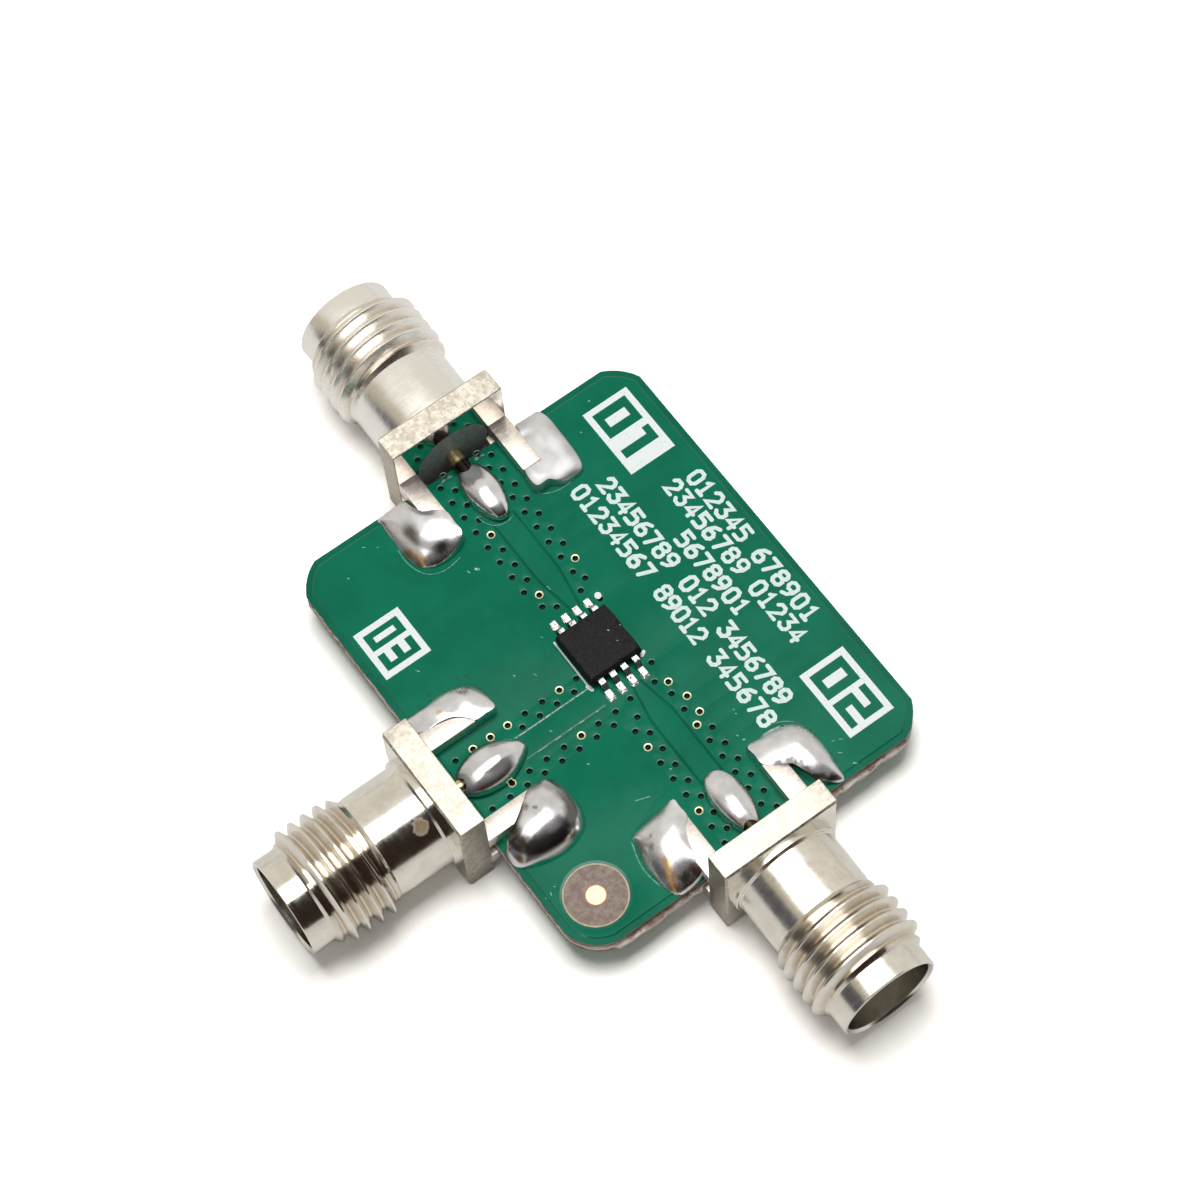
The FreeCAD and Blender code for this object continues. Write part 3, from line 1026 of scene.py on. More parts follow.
def make_row_print():
    height = row_height - stroke_width
    parts = []
    for digits, start, end, foot in PRINT_WORDS:
        pitch = (end - start) / (len(digits) - 1 + digit_fill)
        for k, digit in enumerate(digits):
            for stroke in DIGIT_STROKES[digit]:
                line = []
                for x, y in stroke:
                    left = start + stroke_width / 2 + k * pitch
                    place = Vector((left + x * height, foot + stroke_width / 2 + y * height))
                    wander = noise.noise_vector(Vector((place.x * 2, place.y * 2, 0)))
                    line.append(place + wander.xy * print_wander)
                parts.append(stroke_part(line, stroke_width * random.uniform(0.95, 1.08), print_height))
    make_flat_piece("row_print", "row_print", parts)


# Block digits on a grid of block_columns by block_rows, anticlockwise, with any island after the outline
BLOCK_DIGITS = {
    "0": ([(0, 0), (3, 0), (3, 5), (0, 5)], [(1, 1), (2, 1), (2, 4), (1, 4)]),
    "1": ([(1, 0), (2, 0), (2, 5), (0.2, 5), (0.2, 4), (1, 4)],),
    "2": ([(0, 0), (3, 0), (3, 1), (1, 1), (1, 2), (3, 2), (3, 5), (0, 5), (0, 4), (2, 4), (2, 3), (0, 3)],),
    "3": ([(0, 0), (3, 0), (3, 5), (0, 5), (0, 4), (2, 4), (2, 3), (0, 3), (0, 2), (2, 2), (2, 1), (0, 1)],),
}
# Each port's label: its digits, and the box it fills
PORT_LABELS = (
    ("01", (-10.74, 6.39), (-6.68, 9.02)),
    ("02", (6.71, 6.4), (10.67, 8.98)),
    ("03", (-7.76, -9.3), (-4.91, -6.71)),
)


def label_part(digits, low, high):
    """A white box with block digits left open."""
    width = (high[0] - low[0] - 2 * label_border - label_gap) / 2
    height = high[1] - low[1] - 2 * label_border
    foot = low[1] + label_border
    loops = [[Vector(p) for p in (low, (high[0], low[1]), high, (low[0], high[1]))]]
    holes = []
    islands = []
    for k, digit in enumerate(digits):
        left = low[0] + label_border + k * (width + label_gap)
        for order, outline in enumerate(BLOCK_DIGITS[digit]):
            loop = [
                Vector((left + x * width / block_columns, foot + y * height / block_rows)) for x, y in outline
            ]
            loops.append(loop)
            (islands if order else holes).append(loop)
    points, faces = flat_mesh(loops, [print_height] * len(loops))
    kept = []
    for face in faces:
        middle = middle_of(points, face)
        in_hole = any(is_inside(middle, loop) for loop in holes)
        if not in_hole or any(is_inside(middle, loop) for loop in islands):
            kept.append(face)
    parts = [(points, kept, 0)]
    for loop in loops:
        parts.append((*loft([[lifted(p, z) for p in loop] for z in (print_height, print_foot)]), 0))
    return joined_parts(parts)


def make_labels():
    make_flat_piece("label_print", "print", [label_part(*label) for label in PORT_LABELS])


def make_chip_print():
    """The first-pin dot and the bits of line printed beside the chip."""
    bars = (
        ((-1.69, -1.82), (1.0, -1.84), 0.09), ((1.1, -1.87), (1.37, -1.8), 0.2),
        ((1.25, 1.3), (1.36, 1.12), 0.18), ((-2.45, 1.3), (-2.42, 1.29), 0.34),
    )
    make_flat_piece("chip_print", "print", bar_parts(bars, print_height))


# Thin glints where the lacquer's openings end round the solder, each a curve through board points
OPENING_GLINTS = (
    (
        (-10.2, -4.98), (-9.5, -5.02), (-8.85, -4.9), (-8.3, -4.58), (-8.02, -4.1), (-7.95, -3.55),
        (-8.06, -2.83),
    ),
    ((-9.28, -0.89), (-8.82, -0.76), (-8.4, -0.41), (-8.27, 0.14), (-8.35, 0.52)),
    ((-8.57, 2.16), (-8.22, 2.82), (-8.13, 3.53), (-8.22, 4.18)),
    ((8.7, -4.86), (9.87, -5.19), (10.89, -5.15), (11.78, -4.89)),
    ((7.79, 3.68), (8.04, 4.31), (8.46, 4.8), (9.3, 5.1), (10.49, 5.14)),
)
# Scratches and specks of dust on the lacquer, each with its two ends and its width
SCUFFS = (
    ((-7.12, -2.56), (-7.02, -2.46), 0.13), ((-7.28, -2.95), (-7.12, -2.9), 0.05),
    ((-11.38, -6.27), (-11.3, -6.17), 0.03), ((-10.98, -5.73), (-10.9, -5.64), 0.03),
    ((-11.2, 7.1), (-11.18, 7.12), 0.1), ((-10.44, -7.75), (-10.4, -7.74), 0.06),
    ((-10.06, 5.78), (-10.02, 5.8), 0.06), ((-4.5, -7.9), (-4.35, -7.8), 0.05),
    ((4.3, -4.2), (4.36, -4.14), 0.05), ((-1.47, -4.33), (-1.41, -4.31), 0.06),
    ((8.42, -9.3), (8.58, -9.35), 0.04), ((8.5, -9.63), (8.6, -9.67), 0.03),
    ((8.31, -9.03), (8.34, -8.95), 0.03), ((10.9, 5.5), (11.02, 5.65), 0.035),
    ((10.38, 5.94), (10.48, 6.08), 0.03), ((10.27, 5.62), (10.33, 5.76), 0.03),
    ((11.74, 5.76), (11.86, 5.88), 0.06), ((7.7, 2.36), (7.74, 2.42), 0.06),
    ((7.36, 2.25), (7.4, 2.29), 0.05), ((7.14, -3.52), (7.37, -2.83), 0.03),
    ((9.75, 7.16), (9.79, 7.2), 0.07), ((6.82, -1.26), (6.86, -1.22), 0.05),
    ((10.29, 8.71), (10.33, 8.75), 0.07), ((6.19, 2.9), (6.23, 2.94), 0.05),
    ((6.43, 2.86), (6.45, 2.9), 0.05), ((-2.3, -2.14), (-2.24, -2.1), 0.05),
    ((1.88, -4.61), (1.94, -4.57), 0.07), ((-4.3, -0.36), (-4.06, -0.33), 0.035),
    ((-0.96, -3.52), (-0.8, -3.47), 0.03),
)
DARK_SPECKS = (
    ((-3.11, -8.18), (-3.07, -8.12), 0.1), ((-2.99, -6.57), (-2.95, -6.53), 0.1),
    ((-2.8, -6.18), (-2.76, -6.12), 0.09), ((-2.92, -8.86), (-2.88, -8.82), 0.08),
)


def gap_dashes(x, start, end, spacing, width):
    """Broken glints along one side of the IF line."""
    dashes = []
    y = start
    while y > end:
        length = random.uniform(0.12, 0.55)
        top = (x + random.uniform(-0.01, 0.01), y)
        dashes.append((top, (x, max(y - length, end)), width * random.uniform(0.7, 1.2)))
        y -= length + random.uniform(0.3, 1.0) * spacing
    return dashes


def make_marks():
    """Glints, scuffs and specks on the lacquer."""
    gap_middle = (line_width + line_gap) / 2
    dashes = gap_dashes(if_axis_x - gap_middle, -1.85, -6.1, 0.15, 0.05)
    dashes += gap_dashes(if_axis_x + gap_middle, -2.2, -6.1, 0.9, 0.03)
    glints = [stroke_part(smooth_line(line, 5), glint_width, glint_height) for line in OPENING_GLINTS]
    make_flat_piece("opening_glints", "glint", glints)
    make_flat_piece("scuffs", "scuff", bar_parts(SCUFFS, glint_height))
    # The dashes along the IF line's gaps are painted highlights.
    make_flat_piece("gap_glints", "dust_and_glint", bar_parts(dashes, glint_height))
    make_flat_piece("specks", "grime", bar_parts(DARK_SPECKS, glint_height))


# Jacks
def rounded_square(reach, radius, side_steps=6, corner_steps=4):
    """Flat points round a square with small round corners, anticlockwise."""
    inner = reach - radius
    points = []
    for quarter in range(4):
        turn = Matrix.Rotation(quarter * math.pi / 2, 2)
        for step in range(side_steps):
            points.append(turn @ Vector((reach, inner * (2 * step / side_steps - 1))))
        for step in range(corner_steps):
            angle = math.pi / 2 * step / corner_steps
            points.append(turn @ Vector((inner + radius * math.cos(angle), inner + radius * math.sin(angle))))
    return points


def flange_part():
    square = rounded_square(flange_reach, flange_corner)
    bore = [point.normalized() * (insulator_radius + 0.01) for point in square]
    rear = rounded_square(flange_reach - flange_rear_edge, flange_corner)
    front = rounded_square(flange_reach - flange_edge, flange_corner)
    levels = (
        (0, bore), (0, rear), (flange_rear_edge, square), (flange_thickness - flange_edge, square),
        (flange_thickness, front), (flange_thickness, bore),
    )
    return loft([[Vector((x, p.x, p.y)) for p in flat] for x, flat in levels], joined=True)


def turned_ring(x, radius):
    return [Vector((x, p.x, p.y)) for p in circle(0, 0, radius, barrel_corners)]


def thread_part(start, end):
    """The screw thread, skinned along its own helix and cut off where it meets the neck and the nose."""
    points = []
    rows = 0
    for whole in range(-1, int((end - start) / thread_pitch) + 1):
        for phase, depth in THREAD_PROFILE:
            rows += 1
            for k in range(barrel_corners):
                turn = k / barrel_corners
                x = min(max(start + (whole + phase + turn) * thread_pitch, start), end)
                neck_slope = neck_radius - 0.05 + (x - start)
                nose_slope = nose_radius + (end - x) * 1.1
                radius = min(thread_radius - thread_depth * depth, neck_slope, nose_slope)
                angle = 2 * math.pi * turn
                points.append(Vector((x, radius * math.cos(angle), radius * math.sin(angle))))
    faces = []
    for row in range(rows - 1):
        for k in range(barrel_corners):
            near = row * barrel_corners + k
            far = near + 1
            if k == barrel_corners - 1:
                far = (row + len(THREAD_PROFILE)) * barrel_corners
            if far + barrel_corners < len(points):
                faces.append((near, far, far + barrel_corners, near + barrel_corners))
    return points, faces


def barrel_parts():
    """Collar and neck, thread, and open nose, which weld into one turned piece."""
    end = nose_start + nose_length
    seat = end - socket_depth
    collar_end = flange_thickness + collar_length
    bore = insulator_radius + 0.01
    root = flange_thickness / 2
    before = (
        (root, bore), (root, collar_radius),
        (collar_end - 0.06, collar_radius), (collar_end, collar_radius - 0.06),
        (collar_end, neck_radius + 0.05), (collar_end + 0.05, neck_radius),
        (thread_start - 0.3, neck_radius), (thread_start, neck_radius - 0.05),
    )
    after = (
        (nose_start, nose_radius), (end - 0.08, nose_radius), (end - 0.02, nose_radius - 0.025),
        (end, nose_radius - 0.07), (end, mouth_radius + 0.02), (end - 0.03, mouth_radius),
        (end - mouth_bevel - 0.03, socket_radius), (seat, socket_radius), (seat, bore), (root, bore),
    )
    parts = [loft([turned_ring(x, radius) for x, radius in profile]) for profile in (before, after)]
    return parts + [thread_part(thread_start, nose_start)]


def leg_parts():
    upper = -pin_radius
    lower = upper - board_thickness - board_play
    parts = []
    for side in (-1, 1):
        y0, y1 = sorted((side * (flange_reach - leg_width), side * (flange_reach - 0.005)))
        for z0, z1 in ((upper, upper + leg_height), (lower - leg_height, lower)):
            parts.append(bevelled_box((-leg_length, y0, z0), (0.04, y1, z1), leg_edge))
    return parts


# Each jack's turn about Z
JACKS = {"lo": math.pi, "rf": 0.0, "if": -math.pi / 2}


def jack_place(port):
    """Where a jack's own coordinates sit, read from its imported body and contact."""
    low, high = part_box(port + "_jack_body")
    contact_low, contact_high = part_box(port + "_jack_contact")
    axis = (contact_low + contact_high) / 2
    legs = leg_length * MM
    rear_x = {"lo": high.x - legs, "rf": low.x + legs, "if": axis.x}[port]
    rear_y = high.y - legs if port == "if" else axis.y
    return Matrix.Translation((rear_x, rear_y, axis.z)) @ Matrix.Rotation(JACKS[port], 4, "Z")


def make_jack(port):
    """One jack's body: mirror-bright rear face, milled sides, turned front and barrel, and scratched legs."""
    flange_points, flange_faces = flange_part()
    count = len(flange_faces) // 6
    parts = [
        (flange_points, flange_faces[:count], 2),
        (flange_points, flange_faces[count:4 * count], 1),
        (flange_points, flange_faces[4 * count:], 0),
    ]
    parts += [(points, faces, 0) for points, faces in barrel_parts()]
    parts += [(points, faces, 3) for points, faces in leg_parts()]
    points, faces, finish_of = joined_parts(parts)
    finishes = [FINISHES[key] for key in (port + "_barrel", "milled", "mirror", "leg")]
    name = port + "_jack_shell"
    place = jack_place(port)
    body = make_piece(name, points, faces, finishes, finish_of, place, jack_sharp, weld=True)
    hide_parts(port + "_jack_body")


# Solder
def softened(ring, share):
    """The ring with its corners rounded off by a share."""
    count = len(ring)
    soft = ring
    for stride in (1, 2, 4, 8):
        soft = [soft[k] / 2 + (soft[k - stride] + soft[(k + stride) % count]) / 4 for k in range(count)]
    return [a.lerp(b, share) for a, b in zip(ring, soft)]


def mound_part(rim, peak, height, fullness, sharpness=0.75, bumps=(), rings=22, ripple=0.008, tuck=0.0):
    """A wetted mound. Its rim has points (x, y, height of its wall), and bumps are (x, y, radius, rise).

    The wall stands on a foot that is tucked in by a share of its way to the peak.
    """
    middle = Vector(peak)
    levels = []
    for share in (-0.02, 0.0, 0.25, 0.5, 0.75):
        inset = tuck * (1 - max(share, 0)) ** 2
        level = []
        for p in rim:
            level.append(lifted(p.xy.lerp(middle, inset), max(p.z, 0) * share if share > 0 else share))
        levels.append(level)
    for step in range(rings):
        # The rings crowd at the rim. Bumps, ripple and rounded corners grow in from there.
        t = 0.02 + 0.98 * (step / rings) ** 1.3
        ring = []
        for point in rim:
            place = point.xy.lerp(middle, t)
            share = (1 - (1 - t) ** fullness) ** sharpness
            z = point.z + (height - point.z) * share
            for x, y, radius, rise in bumps:
                far = (place - Vector((x, y))).length / radius
                z += rise * math.exp(-far * far) * min(t * 5, 1)
            z += ripple * noise_at(place, 1.6, height * 7) * min(t * 6, 1)
            ring.append(lifted(place, max(z, 0)))
        levels.append(softened(ring, min(t * 2.2, 1)))
    points, faces = loft(levels, cap_start=True)
    count = len(rim)
    top = sum(levels[-1], Vector()) / count
    start = len(points) - count
    points.append(top)
    faces += [(start + k, start + (k + 1) % count, len(points) - 1) for k in range(count)]
    return points, faces


# Each leg's solder, seen from the board's edge. Places are (distance inwards, distance outwards from the
# leg's inner face, height): the rim with the height of its wall, the peak and the bumps without one. Bumps
# have a radius and a rise, stains a radius and a colour, and a band two heights, a place and a reach.
# Near-black stains are painted dark reflections and shade, and the band is a painted dark reflection.
LEG_SOLDER = {
    "lo_rear": dict(
        rim=((0.05, 1.2, 0.4), (0.9, 0.9, 0.6), (1.9, 0.5, 0.8), (2.6, 0.0, 0.87), (3.57, 0.0, 0.83),
             (3.62, 0.7, 0.76), (3.95, 1.2, 0.5), (4.02, 1.9, 0.36), (3.9, 2.5, 0.3), (3.2, 2.72, 0.36),
             (1.9, 2.76, 0.42), (0.7, 2.76, 0.4), (0.02, 2.5, 0.3), (0.02, 1.8, 0.3)),
        height=0.7, peak=(2.0, 1.6), fullness=5.0, roughness=0.36, tone=0.94,
        bumps=((2.9, 0.5, 0.7, 0.1), (0.9, 1.2, 0.35, -0.14)), stains=((0.4, 1.0, 0.4, 0.3, BROWN),),
    ),
    "lo_front": dict(
        rim=((0.03, 1.25, 0.2), (0.7, 1.15, 0.45), (1.3, 1.0, 0.8), (1.7, 0.4, 0.93), (2.1, 0.0, 0.93),
             (2.8, 0.0, 0.92), (3.45, 0.0, 0.88), (3.74, 0.4, 0.6), (3.92, 1.1, 0.25), (3.86, 1.9, 0.1),
             (3.45, 2.55, 0.04), (2.6, 2.84, 0), (1.5, 2.86, 0), (0.5, 2.8, 0), (0.02, 2.7, 0),
             (0.02, 1.9, 0.1)),
        height=1.0, peak=(1.9, 0.9), fullness=2.0, roughness=0.2, band=(0.62, 0.92, 3.0, 2.2, 0.6, 2.0),
        bumps=((0.9, 2.0, 0.9, -0.08),),
        stains=(
            (3.5, 1.3, 0.6, 0.5, PAINTED_DARK), (2.6, 2.65, 0.25, 0.4, AMBER), (3.2, 2.4, 0.2, 0.45, AMBER),
        ),
    ),
    "rf_rear": dict(
        rim=((0.05, 2.6, 0.08), (0.4, 2.0, 0.4), (0.85, 1.62, 0.7), (1.33, 1.38, 0.9), (1.85, 1.15, 0.96),
             (2.3, 0.5, 0.95), (2.7, 0.0, 0.93), (3.3, 0.0, 0.88), (3.92, 0.03, 0.66), (4.08, 0.8, 0.3),
             (4.1, 1.5, 0.18), (3.98, 2.2, 0.1), (3.62, 2.86, 0.06), (2.8, 3.16, 0.05), (1.8, 3.18, 0.05),
             (0.9, 3.1, 0.03), (0.15, 2.95, 0)),
        height=1.02, peak=(2.4, 1.9), fullness=2.2, roughness=0.24, bumps=((3.2, 0.8, 0.7, 0.04),),
        stains=(
            (0.3, 2.25, 0.3, 0.45, PAINTED_DARK), (0.7, 1.8, 0.55, 0.5, PAINTED_DARK), (1.1, 1.52, 0.8, 0.5, PAINTED_DARK),
            (1.5, 1.32, 0.92, 0.5, PAINTED_DARK), (1.9, 1.05, 0.96, 0.5, PAINTED_DARK), (2.2, 0.6, 0.96, 0.4, PAINTED_DARK),
        ),
    ),
    "rf_front": dict(
        rim=((0.03, 1.5, 0.2), (0.2, 1.0, 0.6), (0.9, 0.9, 0.9), (1.7, 0.7, 0.95), (2.3, 0.4, 0.95),
             (2.7, 0.0, 0.93), (3.3, 0.0, 0.9), (3.84, 0.02, 0.82), (3.92, 0.6, 0.45), (3.93, 1.3, 0.25),
             (3.88, 2.0, 0.08), (3.7, 2.55, 0), (3.2, 2.74, 0), (2.5, 2.87, 0), (1.7, 2.93, 0),
             (0.95, 2.89, 0), (0.35, 2.71, 0), (0.02, 2.3, 0.02)),
        height=1.12, peak=(2.3, 1.3), fullness=2.0, roughness=0.2,
        bumps=((2.9, 0.9, 0.7, 0.05), (0.6, 1.9, 0.7, -0.05)),
        stains=(
            (0.4, 1.3, 0.75, 0.55, BROWN), (0.4, 1.9, 0.5, 0.5, PAINTED_DARK), (0.5, 2.45, 0.3, 0.4, AMBER),
            (0.85, 2.35, 0.5, 0.38, AMBER), (1.2, 2.25, 0.65, 0.36, AMBER), (1.55, 2.1, 0.8, 0.32, AMBER),
            (2.9, 1.9, 0.7, 0.25, PAINTED_DARK), (2.5, 2.1, 0.7, 0.25, PAINTED_DARK),
        ),
    ),
    "if_left": dict(
        rim=((0.02, 1.5, 0.5), (0.4, 1.0, 0.86), (1.1, 0.92, 0.9), (1.9, 0.72, 0.94), (2.5, 0.25, 0.94),
             (2.7, 0.0, 0.92), (3.3, 0.0, 0.9), (3.82, 0.03, 0.86), (3.92, 0.6, 0.6), (3.92, 1.2, 0.35),
             (3.8, 1.75, 0.18), (3.48, 2.15, 0.1), (2.9, 2.4, 0.08), (2.3, 2.46, 0.06), (1.6, 2.46, 0.06),
             (1.0, 2.42, 0.06), (0.35, 2.38, 0.05), (0.02, 2.2, 0.1)),
        height=1.0, peak=(2.4, 1.05), fullness=2.4, roughness=0.2,
        bumps=((2.9, 1.1, 0.35, 0.1), (2.2, 1.4, 0.4, -0.06), (1.5, 1.3, 0.4, 0.08)),
        stains=((1.5, 1.3, 0.85, 0.25, AMBER),),
    ),
    "if_right": dict(
        rim=((0.05, 1.8, 0.25), (0.48, 1.35, 0.6), (1.0, 1.1, 0.88), (1.5, 0.8, 0.95), (2.04, 0.42, 1.0),
             (2.5, 0.08, 0.98), (3.06, 0.0, 0.85), (3.68, 0.0, 0.6), (4.08, 0.6, 0.4), (4.2, 1.3, 0.25),
             (4.2, 2.0, 0.1), (4.0, 2.6, 0.04), (3.6, 3.02, 0), (2.85, 3.32, 0), (2.05, 3.38, 0),
             (1.2, 3.24, 0), (0.35, 2.9, 0), (0.03, 2.4, 0)),
        height=1.42, peak=(2.5, 1.5), fullness=2.0, roughness=0.16, sharpness=0.6, bumps=(),
        band=(0.75, 1.25, 1.8, 2.2, 0.9, 3.0),
        stains=(
            (1.95, 0.85, 1.1, 0.3, BROWN), (2.25, 1.15, 1.3, 0.18, BROWN), (0.9, 1.3, 0.85, 0.5, PAINTED_DARK),
            (0.9, 2.1, 0.8, 0.55, PAINTED_DARK), (0.4, 2.4, 0.4, 0.3, AMBER),
        ),
    ),
}
LEG_SIDES = {"lo_rear": -1, "lo_front": 1, "rf_rear": 1, "rf_front": -1, "if_left": -1, "if_right": 1}
# Plain mounds under the board
under_height = 0.95
under_fullness = 2.6
# How far each flange stands off the board's edge
EDGE_GAPS = {"lo": 0.48, "rf": 0.31, "if": 0.34}


def pad_place(port):
    """Jack coordinates moved to the board's top face at the board's edge, with X running inwards."""
    shift = Vector((-EDGE_GAPS[port] * MM, 0, -pin_radius * MM))
    return jack_place(port) @ Matrix.Translation(shift) @ Matrix.Rotation(math.pi, 4, "Z")


def make_solder(name, points, faces, finish, place=on_board):
    return make_piece(name, points, faces, [finish], place=place, sharp=solder_sharp)


def make_leg_solder(label):
    port, end = label.split("_")
    shape = LEG_SOLDER[label]

    def placed(inwards, outwards, *rest):
        return (inwards, -LEG_SIDES[label] * (flange_reach - leg_width + outwards), *rest)

    rim = smooth_loop([placed(*corner) for corner in shape["rim"]], 6)
    for point in rim:
        point.x = max(point.x, 0.01)
        point.z = max(point.z, 0)
    peak = placed(*shape["peak"])
    bumps = [placed(*bump) for bump in shape["bumps"]]
    stains = [(placed(*stain[:3]), *stain[3:]) for stain in shape["stains"]]
    band = shape.get("band")
    if band:
        band = (*band[:2], placed(*band[2:5]), band[5])
    finish = solder_finish(label + "_solder", shape["roughness"], stains, shape.get("tone", 1.0), band)
    sharpness = shape.get("sharpness", 0.75)
    points, faces = mound_part(rim, peak, shape["height"], shape["fullness"], sharpness, bumps)
    top = make_solder(label + "_solder_top", points, faces, finish, pad_place(port))
    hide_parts(port + "_leg_solder_top_" + end)
    points, faces = mound_part(rim, peak, under_height, under_fullness)
    under = make_solder(label + "_solder_under", below_board(points), faces, finish, pad_place(port))
    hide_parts(port + "_leg_solder_under_" + end)


# Each pin's solder, seen from the board's edge: where it starts and ends, its sideways shift, half width,
# height, how much wider its outer end is, how pointed its inner end is, and its roughness and stains
PIN_SOLDER = {
    "lo": (0.36, 3.82, 0.06, 0.9, 1.06, 0.1, 0.08, 0.14, ()),
    "rf": (0.36, 4.06, -0.08, 0.88, 1.08, -0.1, 0.0, 0.18, (((0.95, 0.25, 0.9), 0.25, AMBER),)),
    "if": (0.1, 4.0, 0.0, 1.1, 1.2, 0.05, 0.45, 0.15, ()),
}


def make_pin_solder(port):
    start, end, shift, half, height, lean, point, roughness, stains = PIN_SOLDER[port]
    steps = 36
    middle = (start + end) / 2
    reach = (end - start) / 2
    rim = []
    for k in range(2 * steps):
        turn = math.pi * k / steps
        along = math.cos(turn)
        width = half * (1 - lean * along - point * max(along, 0) ** 2)
        across = width * math.copysign(abs(math.sin(turn)) ** 0.85, math.sin(turn))
        rim.append(Vector((middle + reach * along, shift + across, 0.42 - 0.12 * along**2)))
    points, faces = mound_part(rim, (middle, shift), height, 2.0, 0.5, ripple=0.02, tuck=0.05)
    finish = solder_finish(port + "_pin_solder", roughness, stains)
    bead = make_solder(port + "_pin_bead", points, faces, finish, pad_place(port))
    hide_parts(port + "_pin_solder")


# Chip
def make_chip_body():
    """Moulded package with soft edges and one slightly wavy side."""
    middle = Vector((chip_x, chip_y))
    parting = chip_standoff + 0.42
    top = chip_standoff + chip_height
    half = chip_size / 2
    levels = (
        (chip_standoff, half - 0.14), (chip_standoff + 0.03, half - 0.09), (parting - 0.02, half),
        (parting + 0.02, half), (top - 0.06, half - 0.075), (top - 0.02, half - 0.1), (top, half - 0.16),
        (top, half * 0.5),
    )
    rings = []
    for z, reach in levels:
        ring = []
        for point in rounded_square(reach, 0.09, side_steps=24):
            wave = 0.02 * math.sin(point.x * 4.2 + 1) if point.y > reach - 0.02 and z > parting else 0
            ring.append(Vector((middle.x + point.x, middle.y + point.y - wave, z)))
        rings.append(ring)
    points, faces = loft(rings, cap_start=True, cap_end=True)
    body = make_piece("chip_package", points, faces, [FINISHES["chip"]], sharp=chip_sharp)
    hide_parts("chip_body")
    specks = (
        ((-0.31, 0.39), (-0.28, 0.41), 0.05), ((0.38, 0.42), (0.4, 0.44), 0.035),
        ((-0.2, 1.0), (-0.18, 1.02), 0.03),
    )
    make_flat_piece("chip_specks", "dust_and_glint", bar_parts(specks, top + 0.003))


def make_lead_solder():
    """Solder drawn up round each lead's foot and out along its pad. It is fuller on the right."""
    parts = []
    for side, half, height, extra in ((-1, 0.15, 0.05, 0.0), (1, 0.165, 0.1, 0.08)):
        x0 = chip_x + side * (lead_span / 2 - lead_foot + 0.2)
        x1 = chip_x + side * (lead_span / 2 + extra)
        for step in range(4):
            y = chip_y + (step - 1.5) * lead_pitch
            corners = [(x0, y - half, 0), (x1, y - half * 0.9, 0), (x1, y + half * 0.9, 0), (x0, y + half, 0)]
            rim = smooth_loop(corners, 8)
            points, faces = mound_part(rim, ((x0 + x1) / 2, y), height, fullness=2.5, rings=7, ripple=0.03)
            parts.append((points, faces, 0))
    points, faces, _ = joined_parts(parts)
    solder = make_solder("lead_wetting", points, faces, solder_finish("lead_solder", 0.08))
    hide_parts("chip_lead_solder")


def dress_nodes():
    """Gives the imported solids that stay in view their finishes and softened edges."""
    dressed = {"fiducial_dot": ("dot", 0.008)}
    for port in JACKS:
        dressed[port + "_jack_insulator"] = ("insulator", 0.03)
        FINISHES[port + "_gold"] = gold_finish(port)
        dressed[port + "_jack_contact"] = (port + "_gold", 0.02)
    for number in range(1, 9):
        dressed["chip_lead_%d" % number] = ("tin", 0.015)
    for name, (finish, width) in dressed.items():
        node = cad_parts[name]
        node.data.materials.clear()
        node.data.materials.append(FINISHES[finish])
        bevel = node.modifiers.new("soft_edges", "BEVEL")
        bevel.width = width * MM
        bevel.segments = 2
        bevel.limit_method = "ANGLE"
        bevel.angle_limit = math.radians(softened_angle)
        node.data.polygons.foreach_set("use_smooth", [True] * len(node.data.polygons))
        node.data.set_sharp_from_angle(angle=math.radians(solid_sharp))


# Studio
softbox_height = 400.0
softbox_low = (-0.325, -0.73)
softbox_high = (0.29, 0.4)
softbox_radiance = 3.2
key_low = (-0.34, -0.2)
key_high = (0.1, 0.27)
key_radiance = 11.9
fill_level = 0.2
white = (1, 1, 1)
pale_room = (0.82, 0.81, 0.78)
warm_room = (0.77, 0.74, 0.68)
dusk_tone = (0.1, 0.1, 0.115)
half_dusk_tone = (0.5, 0.46, 0.38)
dark_tone = (0.03, 0.02, 0.016)
floor_reach = 1.2
floor_tone = (0.86, 0.85, 0.83)
floor_tone_seen = (1.48, 1.44, 1.38)


def make_softbox(name, low, high, radiance):
    """An overhead softbox between two slopes, each as distance aside per height."""
    width = (high[0] - low[0]) * softbox_height * MM
    depth = (high[1] - low[1]) * softbox_height * MM
    light = bpy.data.lights.new(name, "AREA")
    light.shape = "RECTANGLE"
    light.size = width
    light.size_y = depth
    light.energy = radiance * math.pi * width * depth
    lamp = add_object(name, light)
    middle_x = (low[0] + high[0]) / 2 * softbox_height * MM
    middle_y = (low[1] + high[1]) / 2 * softbox_height * MM
    lamp.location = board_origin + Vector((middle_x, middle_y, softbox_height * MM))
    return lamp


def make_lights():
    """One softbox for the mirrors, one behind the board whose soft shadows fall towards the front."""
    make_softbox("softbox", softbox_low, softbox_high, softbox_radiance).visible_diffuse = False
    make_softbox("key", key_low, key_high, key_radiance).visible_glossy = False


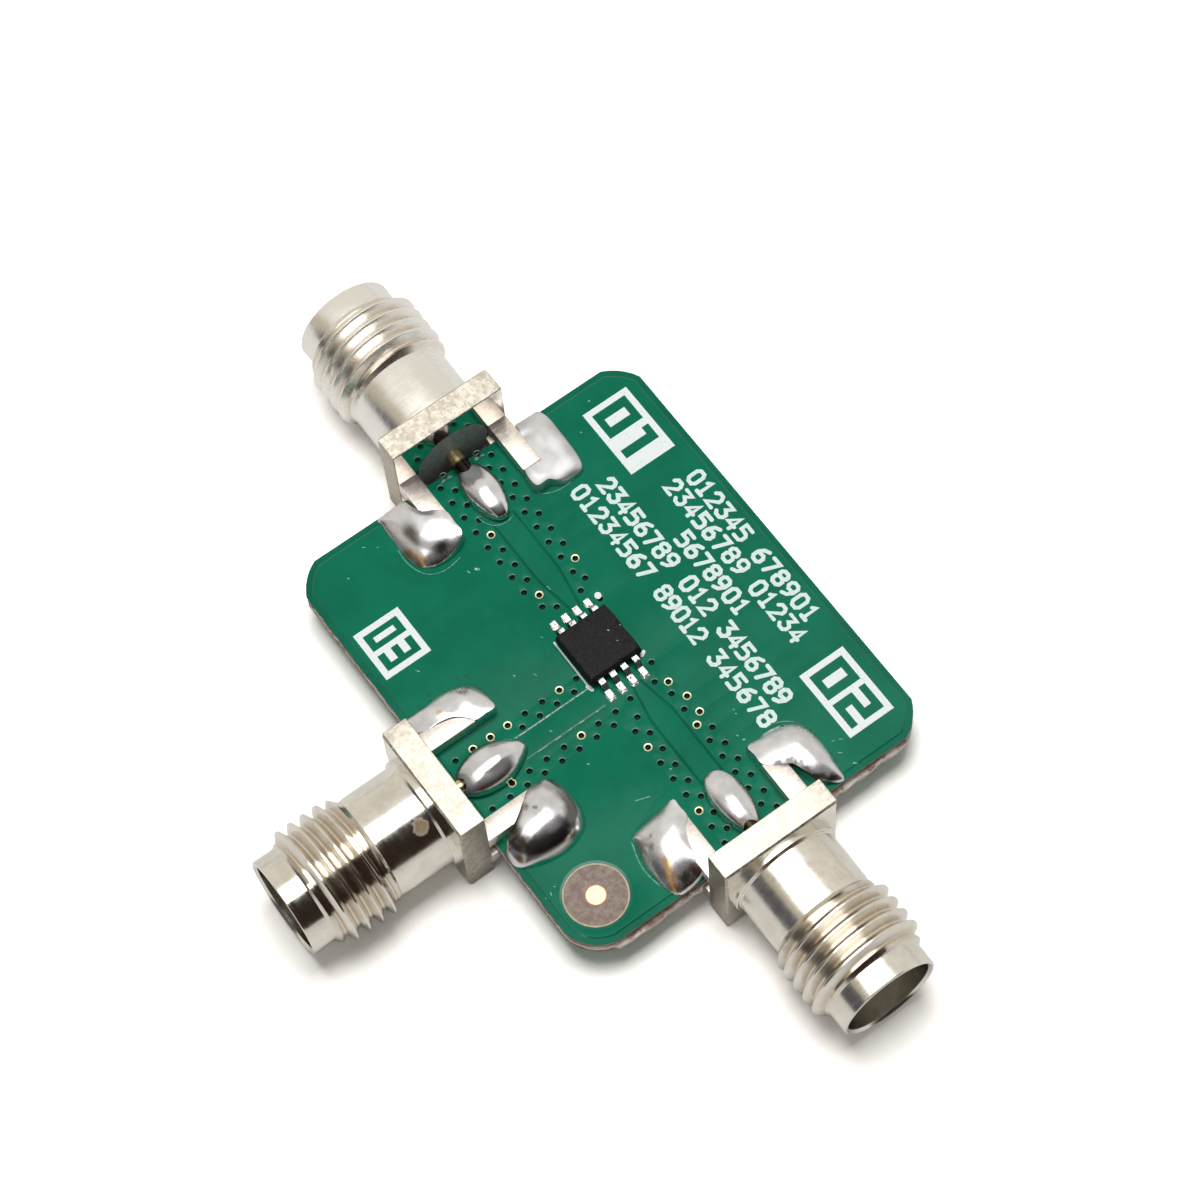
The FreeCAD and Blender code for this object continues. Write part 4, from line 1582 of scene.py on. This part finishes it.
def make_world():
    """White to the camera, an even fill, and for mirrors a pale room with a dark side and a dusky side."""
    world = bpy.data.worlds.new("studio")
    bpy.context.scene.world = world
    graph = Graph(world)

    def band(value, low, high, soft=0.04):
        """1 between low and high, with soft ends."""
        return graph.product(graph.span(value, low - soft, low), graph.span(value, high, high + soft, 1, 0))

    coordinates = graph.add("TexCoord")
    east, north, up = graph.add("SeparateXYZ", coordinates.outputs["Generated"]).outputs
    above = band(up, 0.02, 2)
    room = graph.blend(band(east, -1.1, -0.1, 0.3), pale_room, warm_room)
    room = graph.blend(graph.product(band(north, -0.99, -0.82), above), room, dusk_tone)
    room = graph.blend(graph.product(band(north, -0.8, -0.6), above), room, half_dusk_tone)
    dark = graph.product(band(east, 0.29, 0.985), band(north, -0.62, 0.6, 0.15))
    room = graph.blend(graph.product(dark, band(up, 0.1, 2, 0.08)), room, dark_tone)
    seen = graph.add("Background", white, 1.0).outputs[0]
    mirrored = graph.add("Background", room, 1.0).outputs[0]
    fill = graph.add("Background", white, fill_level).outputs[0]
    rays = graph.add("LightPath").outputs
    shiny = graph.maths("MAXIMUM", rays["Is Glossy Ray"], rays["Is Transmission Ray"])
    unseen = graph.add("MixShader", shiny, fill, mirrored).outputs[0]
    both = graph.add("MixShader", rays["Is Camera Ray"], unseen, seen).outputs[0]
    graph.add("OutputWorld", both)


def make_floor():
    """A plain white floor, over-exposed to the camera so that only the near shadow shows."""
    corners = [(x * floor_reach, y * floor_reach, 0) for x, y in ((-1, -1), (1, -1), (1, 1), (-1, 1))]
    mesh = bpy.data.meshes.new("floor")
    mesh.from_pydata(corners, [], [(0, 1, 2, 3)])
    add_object("floor", mesh)
    material = bpy.data.materials.new("floor_white")
    graph = Graph(material)
    rays = graph.add("LightPath").outputs
    tone = graph.blend(rays["Is Camera Ray"], floor_tone, floor_tone_seen)
    graph.add("OutputMaterial", graph.add("BsdfDiffuse", tone).outputs[0])
    mesh.materials.append(material)


def make_camera():
    data = bpy.data.cameras.new("camera")
    data.sensor_width = camera_sensor
    data.lens = camera_lens
    data.clip_start = 0.01
    data.clip_end = 10
    camera = add_object("camera", data)
    azimuth = math.radians(camera_azimuth)
    elevation = math.radians(camera_elevation)
    back = Vector((
        math.sin(azimuth) * math.cos(elevation), -math.cos(azimuth) * math.cos(elevation), math.sin(elevation)
    ))
    target = board_origin + Vector(camera_target) * MM
    turn = (-back).to_track_quat("-Z", "Y").to_matrix().to_4x4()
    roll = Matrix.Rotation(math.radians(camera_roll), 4, "Z")
    camera.matrix_world = Matrix.Translation(target + back * camera_distance * MM) @ turn @ roll
    bpy.context.scene.camera = camera


make_board()
make_row_print()
make_labels()
make_chip_print()
make_marks()
for port in JACKS:
    make_jack(port)
    make_pin_solder(port)
for label in LEG_SOLDER:
    make_leg_solder(label)
make_chip_body()
make_lead_solder()
dress_nodes()
make_world()
make_lights()
make_floor()
make_camera()
bpy.context.scene.view_settings.view_transform = "Standard"
